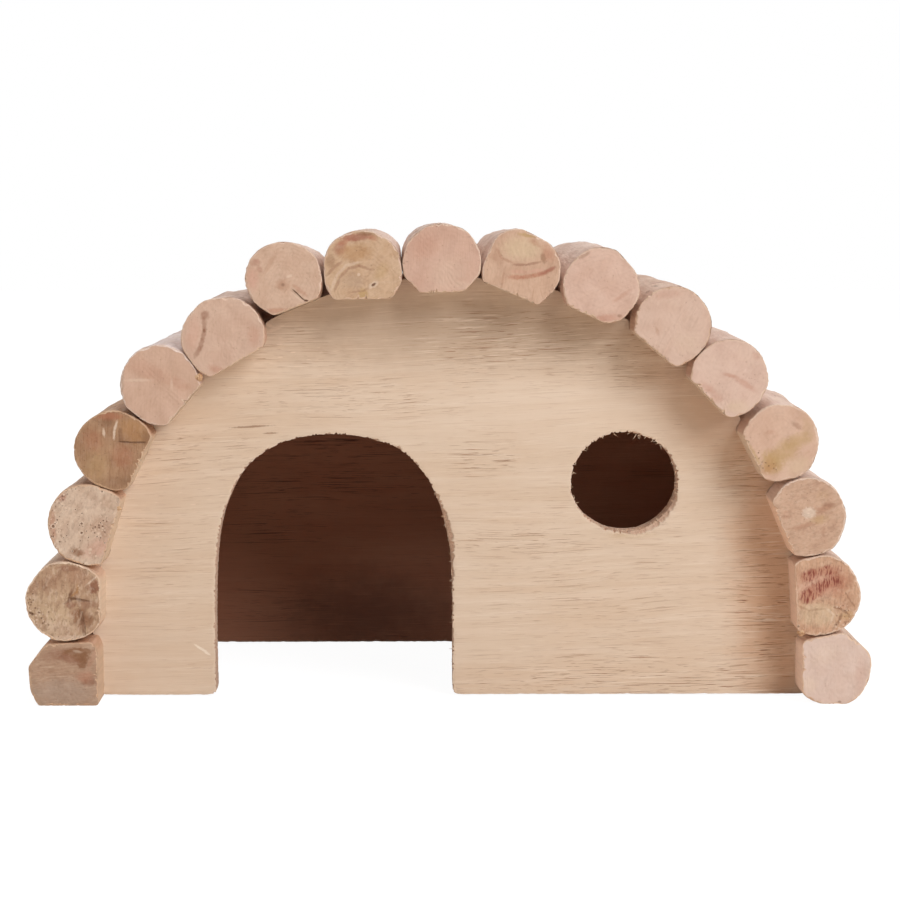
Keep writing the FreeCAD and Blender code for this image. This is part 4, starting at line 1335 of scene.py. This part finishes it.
def makePlyMaterial(name, look, y):
    # bands and marks are on the face at y
    material, place = startMaterial(name)
    seed = look["seed"]
    leaned = rotated(place, math.radians(look["lean"]))
    drawn = vecCalc("MULTIPLY", leaned, (0.22, 0.5, 1))
    broad = blotchesAt(drawn, 7, 0.36, 0.66, seed)
    clouds = blotchesAt(drawn, 5, 0.52, 0.66, seed + 4)
    wide, long, fine, dash, light = [
        streaksAt(leaned, length, width, 4, low, soft, seed + more)
        for length, width, low, soft, more in (
            (60, 1.9, 0.44, 0.26, 1), (20, 0.23, 0.6, 0.08, 2), (9, 0.2, 0.5, 0.24, 3),
            (5, 0.18, 0.61, 0.08, 5), (11, 0.24, 0.58, 0.1, 6))]

    def mark(x, z, half, high, degrees, softness, grain):
        return markAt(place, (x, y, z), half, high, degrees, softness, 0.6, grain)

    dense = times(clouds["Mask"], 0.4)
    for x, z, half, high, strength in look["bands"]:
        band = mark(x, z, half, high, 0, 0.8, 0.12)
        dense = calc("MAXIMUM", dense, times(band, strength))
    colour = blend(times(broad["Mask"], 0.6), paint(*look["base"]), paint(*look["warm"]))
    colour = blend(times(wide["Mask"], 0.3), colour, paint(*look["light"]))
    for number, (x, z, half, high, turn, tint, strength, softness) in enumerate(look["marks"]):
        spot = mark(x, z, half, high, turn, softness, 0.9 + 0.1 * number if half < 6 else 0.15)
        tinted = tints[tint] if tint in tints else paint(*look[tint])
        colour = blend(times(spot, strength), colour, tinted)
    for layer, least, more, tone in ((fine, 0.08, 0.14, "grain"), (light, 0.3, 0.4, "light"),
                                     (long, 0.14, 0.7, "pore"), (dash, 0.12, 0.75, "pore")):
        amount = times(layer["Mask"], sloped(dense, more, least))
        colour = blend(amount, colour, paint(*look[tone]))
    for x, z, half, high in look["flecks"]:
        chips = specksAt(drawn, 0.7, 0.4, 0.3, seed)
        area = mark(x, z, half, high, 0, 0.4, 0.3)
        colour = coat(colour, "pale", times(chips, area), 0.8)
    colour = coat(colour, "pale", wearAt(place, 0.25, 0.8, 2.2), 0.4)
    height = sloped(fine["Value"], 0.7, times(light["Value"], 0.4))
    for layer in (long, dash):
        height = minus(height, times(layer["Mask"], sloped(dense, 0.5, 0.1)))
    finishMaterial(colour, sloped(clouds["Value"], 0.14, 0.6), height, 0.07)
    return material


sawnPly = {"base": (238, 208, 186), "second": (220, 184, 160), "cross": (198, 158, 132),
           "glueLine": (140, 100, 76), "scratch": 0.5}


def makeCutMaterial():
    # the plies follow each other from the inner face outwards
    material, place = startMaterial("sawn plywood edge")
    axes = axesOf(place)
    broad = blotchesAt(place, 3, 0.36, 0.66, 11)
    scratch = streaksAt(spotAt(axes["Y"], axes["X"], axes["Z"]), 7, 0.3, 1.5, 0.48, 0.2, 12)
    fuzz = specksAt(place, 0.55, 0.3, 0.2, 13)
    depth = minus(calc("ABSOLUTE", axes["Y"]), panelShape["innerFace"])
    layers = calc("PINGPONG", minus(depth, 0.65), 1.95)
    line = ramp(calc("ABSOLUTE", minus(layers, 0.98)), 0.12, 0.04)
    colour = blend(times(broad["Mask"], 0.7), paint(*sawnPly["base"]), paint(*sawnPly["second"]))
    colour = blend(times(ramp(layers, 0.9, 1.05), 0.3), colour, paint(*sawnPly["cross"]))
    colour = blend(times(line, 0.35), colour, paint(*sawnPly["glueLine"]))
    colour = coat(colour, "shade", scratch["Mask"], sawnPly["scratch"])
    colour = coat(colour, "pale", fuzz, 0.3)
    colour = coat(colour, "pale", wearAt(place, 0.45, 1, 1.8), 0.5)
    height = plus(scratch["Value"], times(fuzz, 0.3))
    finishMaterial(colour, 0.85, height, 0.12, specular=0.2)
    return material


def makeSliverMaterial():
    material, place = startMaterial("torn fibres")
    tone = blotchesAt(place, 1.2, 0.4, 0.62, 4)
    colour = blend(tone["Mask"], paint(232, 210, 186), paint(206, 172, 142))
    finishMaterial(colour, 0.8, tone["Value"], 0.05)
    return material


def makeSteelMaterial():
    material, place = startMaterial("pin steel")
    worn = blotchesAt(place, 0.5, 0.35, 0.7, 5)
    turned = streaksAt(place, 0.5, 0.05, 0.1, 0.5, 0.2, 6)
    colour = blend(worn["Mask"], paint(176, 174, 170), paint(138, 132, 126))
    finishMaterial(colour, sloped(worn["Value"], 0.3, 0.22), turned["Value"], 0.02,
                   specular=0.5, metallic=1, strength=0.6)
    return material


def makeGlueMaterial():
    material, place = startMaterial("dried glue")
    cloudy = blotchesAt(place, 0.9, 0.35, 0.7, 2)
    colour = blend(cloudy["Mask"], paint(214, 178, 140), paint(176, 128, 88))
    colour = coat(colour, "pale", specksAt(place, 0.5, 0.25, 0.3, 3), 0.5)
    finishMaterial(colour, sloped(cloudy["Value"], 0.3, 0.2), cloudy["Value"], 0.08, specular=0.5)
    return material


for n in branches:
    makeLog(n, makeEndMaterial(n), makeSideMaterial(n))
print("17 branch logs made")

plyFace = makePlyMaterial("plywood face", plywood, -panelShape["outerFace"])
plyRear = makePlyMaterial("plywood rear face", {**plywood, "seed": 31}, panelShape["outerFace"])
plyInnerShaded = makePlyMaterial("plywood inner face painted shade", shadedInnerPly, panelShape["innerFace"])
plyCut = makeCutMaterial()
makePanel("front_panel_sawn", "front_panel", 0.144, panelShape["lift"]["front"], True,
          (plyFace, plyInnerShaded), plyCut, 1000)
makePanel("rear_panel_sawn", "rear_panel", 0.856, panelShape["lift"]["rear"], False,
          (plyInnerShaded, plyRear), plyCut, 1200)
print("panels made")


def rimFibres():
    # slivers along the sawn rims of the window and of the doorway's right side
    dice = np.random.default_rng(77)
    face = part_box("front_panel")[0].y / mm
    found = [(45.6, face + 0.1, 64.1, -115, 1.5, 0.2), (46.6, face + 0.1, 63.9, -100, 1.1, 0.16),
             (47.9, face, 63.6, -20, 1.9, 0.18), (43.2, face, 40.3, 160, 1.5, 0.18),
             (45.1, face, 40.4, 95, 1.0, 0.16), (36.6, face, 41.7, 140, 1.2, 0.16),
             (-16.6, face, 62.5, 172, 1.2, 0.16), (-2.9, face, 48.7, 20, 1.2, 0.18)]
    for _ in range(46):
        turn = dice.uniform(0, 2 * pi)
        x = peephole["centre"][0] + (peephole["wide"] - 0.05) * math.cos(turn)
        z = peephole["centre"][1] + (peephole["high"] - 0.05) * math.sin(turn)
        lean = math.degrees(turn) + 180 + dice.normal(0, 55)
        found.append((x, face + dice.uniform(0.05, 0.6), z, lean, dice.uniform(0.4, 1.1), 0.18))
    for _ in range(40):
        z = dice.uniform(8, 52)
        x = np.interp(z, (2, 25, 34, 41, 48, 54), (1.05, 1.05, 0.65, -0.4, -2.3, -5.6))
        lean = dice.choice([-90, 90, 180]) + dice.normal(0, 25)
        found.append((x, face + dice.uniform(0.1, 2.0), z, lean, dice.uniform(0.3, 1.0), 0.16))
    return found


makeFibres("front_panel_slivers", rimFibres(), makeSliverMaterial(), 78)
for node in ("front_pins", "rear_pins"):
    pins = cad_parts[node]
    steel = bpy.data.materials.get("pin steel") or makeSteelMaterial()
    pins.data.materials.clear()
    pins.data.materials.append(steel)
print("pins finished")

# beads where glue was squeezed out: log, direction on it in degrees, y and half sizes in mm
glueBeads = {
    "glue_bead_05": (5, 12, -59.3, (0.9, 0.7, 0.9)),
    "glue_bead_16": (16, -116, -59.4, (0.8, 0.6, 0.7)),
    "glue_bead_03": (3, 30, -59.7, (0.5, 0.4, 0.5)),
}
glue = makeGlueMaterial()
for name, (n, turn, y, size) in glueBeads.items():
    turn = math.radians(turn)
    radius = outline(n, np.array([turn]), 0.0)[0][0] - 0.1
    x, z = centreAt(n, 0.0) + (radius * math.cos(turn), radius * math.sin(turn))
    makeGlue(name, (x, y, z), size, glue, 900 + n)
print("glue beads made")

studio = {
    "floorHalf": 4000,          # mm
    "floorWhite": 0.96,         # what the camera sees of it under the house without the lamps
    "floorCatch": 0.14,         # how much of the lamps' light and shadow it shows
    "floorTone": (0.94, 0.84, 0.74),   # what it gives back to the house
    # inside the house the floor gives back almost no light: a dark patch seen only by bounced
    # light, painted shade that keeps the inside dim
    "underTone": (0.14, 0.11, 0.1),    # the same inside the house
    "ambient": 0.14,
    "ambientTone": (1.0, 0.86, 0.74),
    "lamps": {                  # location, what it points at, size in metres, watts
        "key": ((1.03, -1.51, 1.13), (0, -0.04, 0.05), 1.2, 28.5),
        "fill": ((-1.4, -1.2, 1.2), (0, -0.04, 0.05), 1.2, 4.5),
        "top": ((0.1, 0.2, 1.9), (0, 0, 0.05), 1.2, 12.0),
    },
}


def seenAs(others, shown):
    # one look for the camera and for gloss and glass, another for all other light
    path = put("LightPath").outputs
    seen = calc("MAXIMUM", path["Is Camera Ray"], path["Is Glossy Ray"])
    seen = calc("MAXIMUM", seen, path["Is Transmission Ray"])
    return put("MixShader", {0: seen, 1: others.outputs[0], 2: shown.outputs[0]}).outputs[0]


def makeFloor():
    material = bpy.data.materials.new("pale floor")
    openTree(material)
    place = put("TexCoord").outputs["Object"]
    # the floor is dark under the house for bounced light, painted shade for the inside
    sides = axesOf(vecCalc("ABSOLUTE", vecCalc("MULTIPLY", place, (10, 17, 0))))
    outside = ramp(calc("MAXIMUM", sides["X"], sides["Y"]), 0.6, 0.82)
    tone = blend(outside, (*studio["underTone"], 1), (*studio["floorTone"], 1))
    plain = put("BsdfDiffuse", {"Color": tone})
    catch = put("BsdfDiffuse", {"Color": (studio["floorCatch"],) * 3 + (1,)})
    away = ramp(vecCalc("LENGTH", place), 0.25, 0.8)
    level = sloped(away, 1 - studio["floorWhite"], studio["floorWhite"])
    white = put("Emission", {"Color": (1, 1, 1, 1), "Strength": level})
    both = put("AddShader", {0: catch.outputs[0], 1: white.outputs[0]})
    put("OutputMaterial", {"Surface": seenAs(plain, both)})
    half = studio["floorHalf"]
    corners = [(-half, -half, 0), (half, -half, 0), (half, half, 0), (-half, half, 0)]
    makeMesh("floor", corners, [(0, 1, 2, 3)], [material])


def makeWorld():
    world = bpy.data.worlds.new("studio")
    bpy.context.scene.world = world
    openTree(world)
    dim = put("Background", {"Color": (*studio["ambientTone"], 1), "Strength": studio["ambient"]})
    white = put("Background", {"Color": (1, 1, 1, 1), "Strength": 1})
    put("OutputWorld", {"Surface": seenAs(dim, white)})


def makeLamps():
    for name, (place, target, size, watts) in studio["lamps"].items():
        lamp = bpy.data.lights.new(name, "AREA")
        lamp.shape = "DISK"
        lamp.size = size
        lamp.energy = watts
        holder = bpy.data.objects.new(name, lamp)
        holder.location = place
        aim = Vector(target) - Vector(place)
        holder.rotation_euler = aim.to_track_quat("-Z", "Y").to_euler()
        bpy.context.collection.objects.link(holder)


shot = {"lens": 114.7, "sensor": 36.0,                    # mm
        "place": (-0.0075, -0.7397, 0.1156),              # metres
        "tilt": 85.433, "pan": -0.657}                    # degrees
camera = bpy.data.cameras.new("camera")
camera.lens = shot["lens"]
camera.sensor_width = shot["sensor"]
camera.clip_start = 0.01
viewer = bpy.data.objects.new("camera", camera)
viewer.location = shot["place"]
viewer.rotation_euler = (math.radians(shot["tilt"]), 0, math.radians(shot["pan"]))
bpy.context.collection.objects.link(viewer)
bpy.context.scene.camera = viewer
bpy.context.scene.view_settings.view_transform = "Standard"

makeFloor()
makeWorld()
makeLamps()
print("floor, world, lamps and camera set")
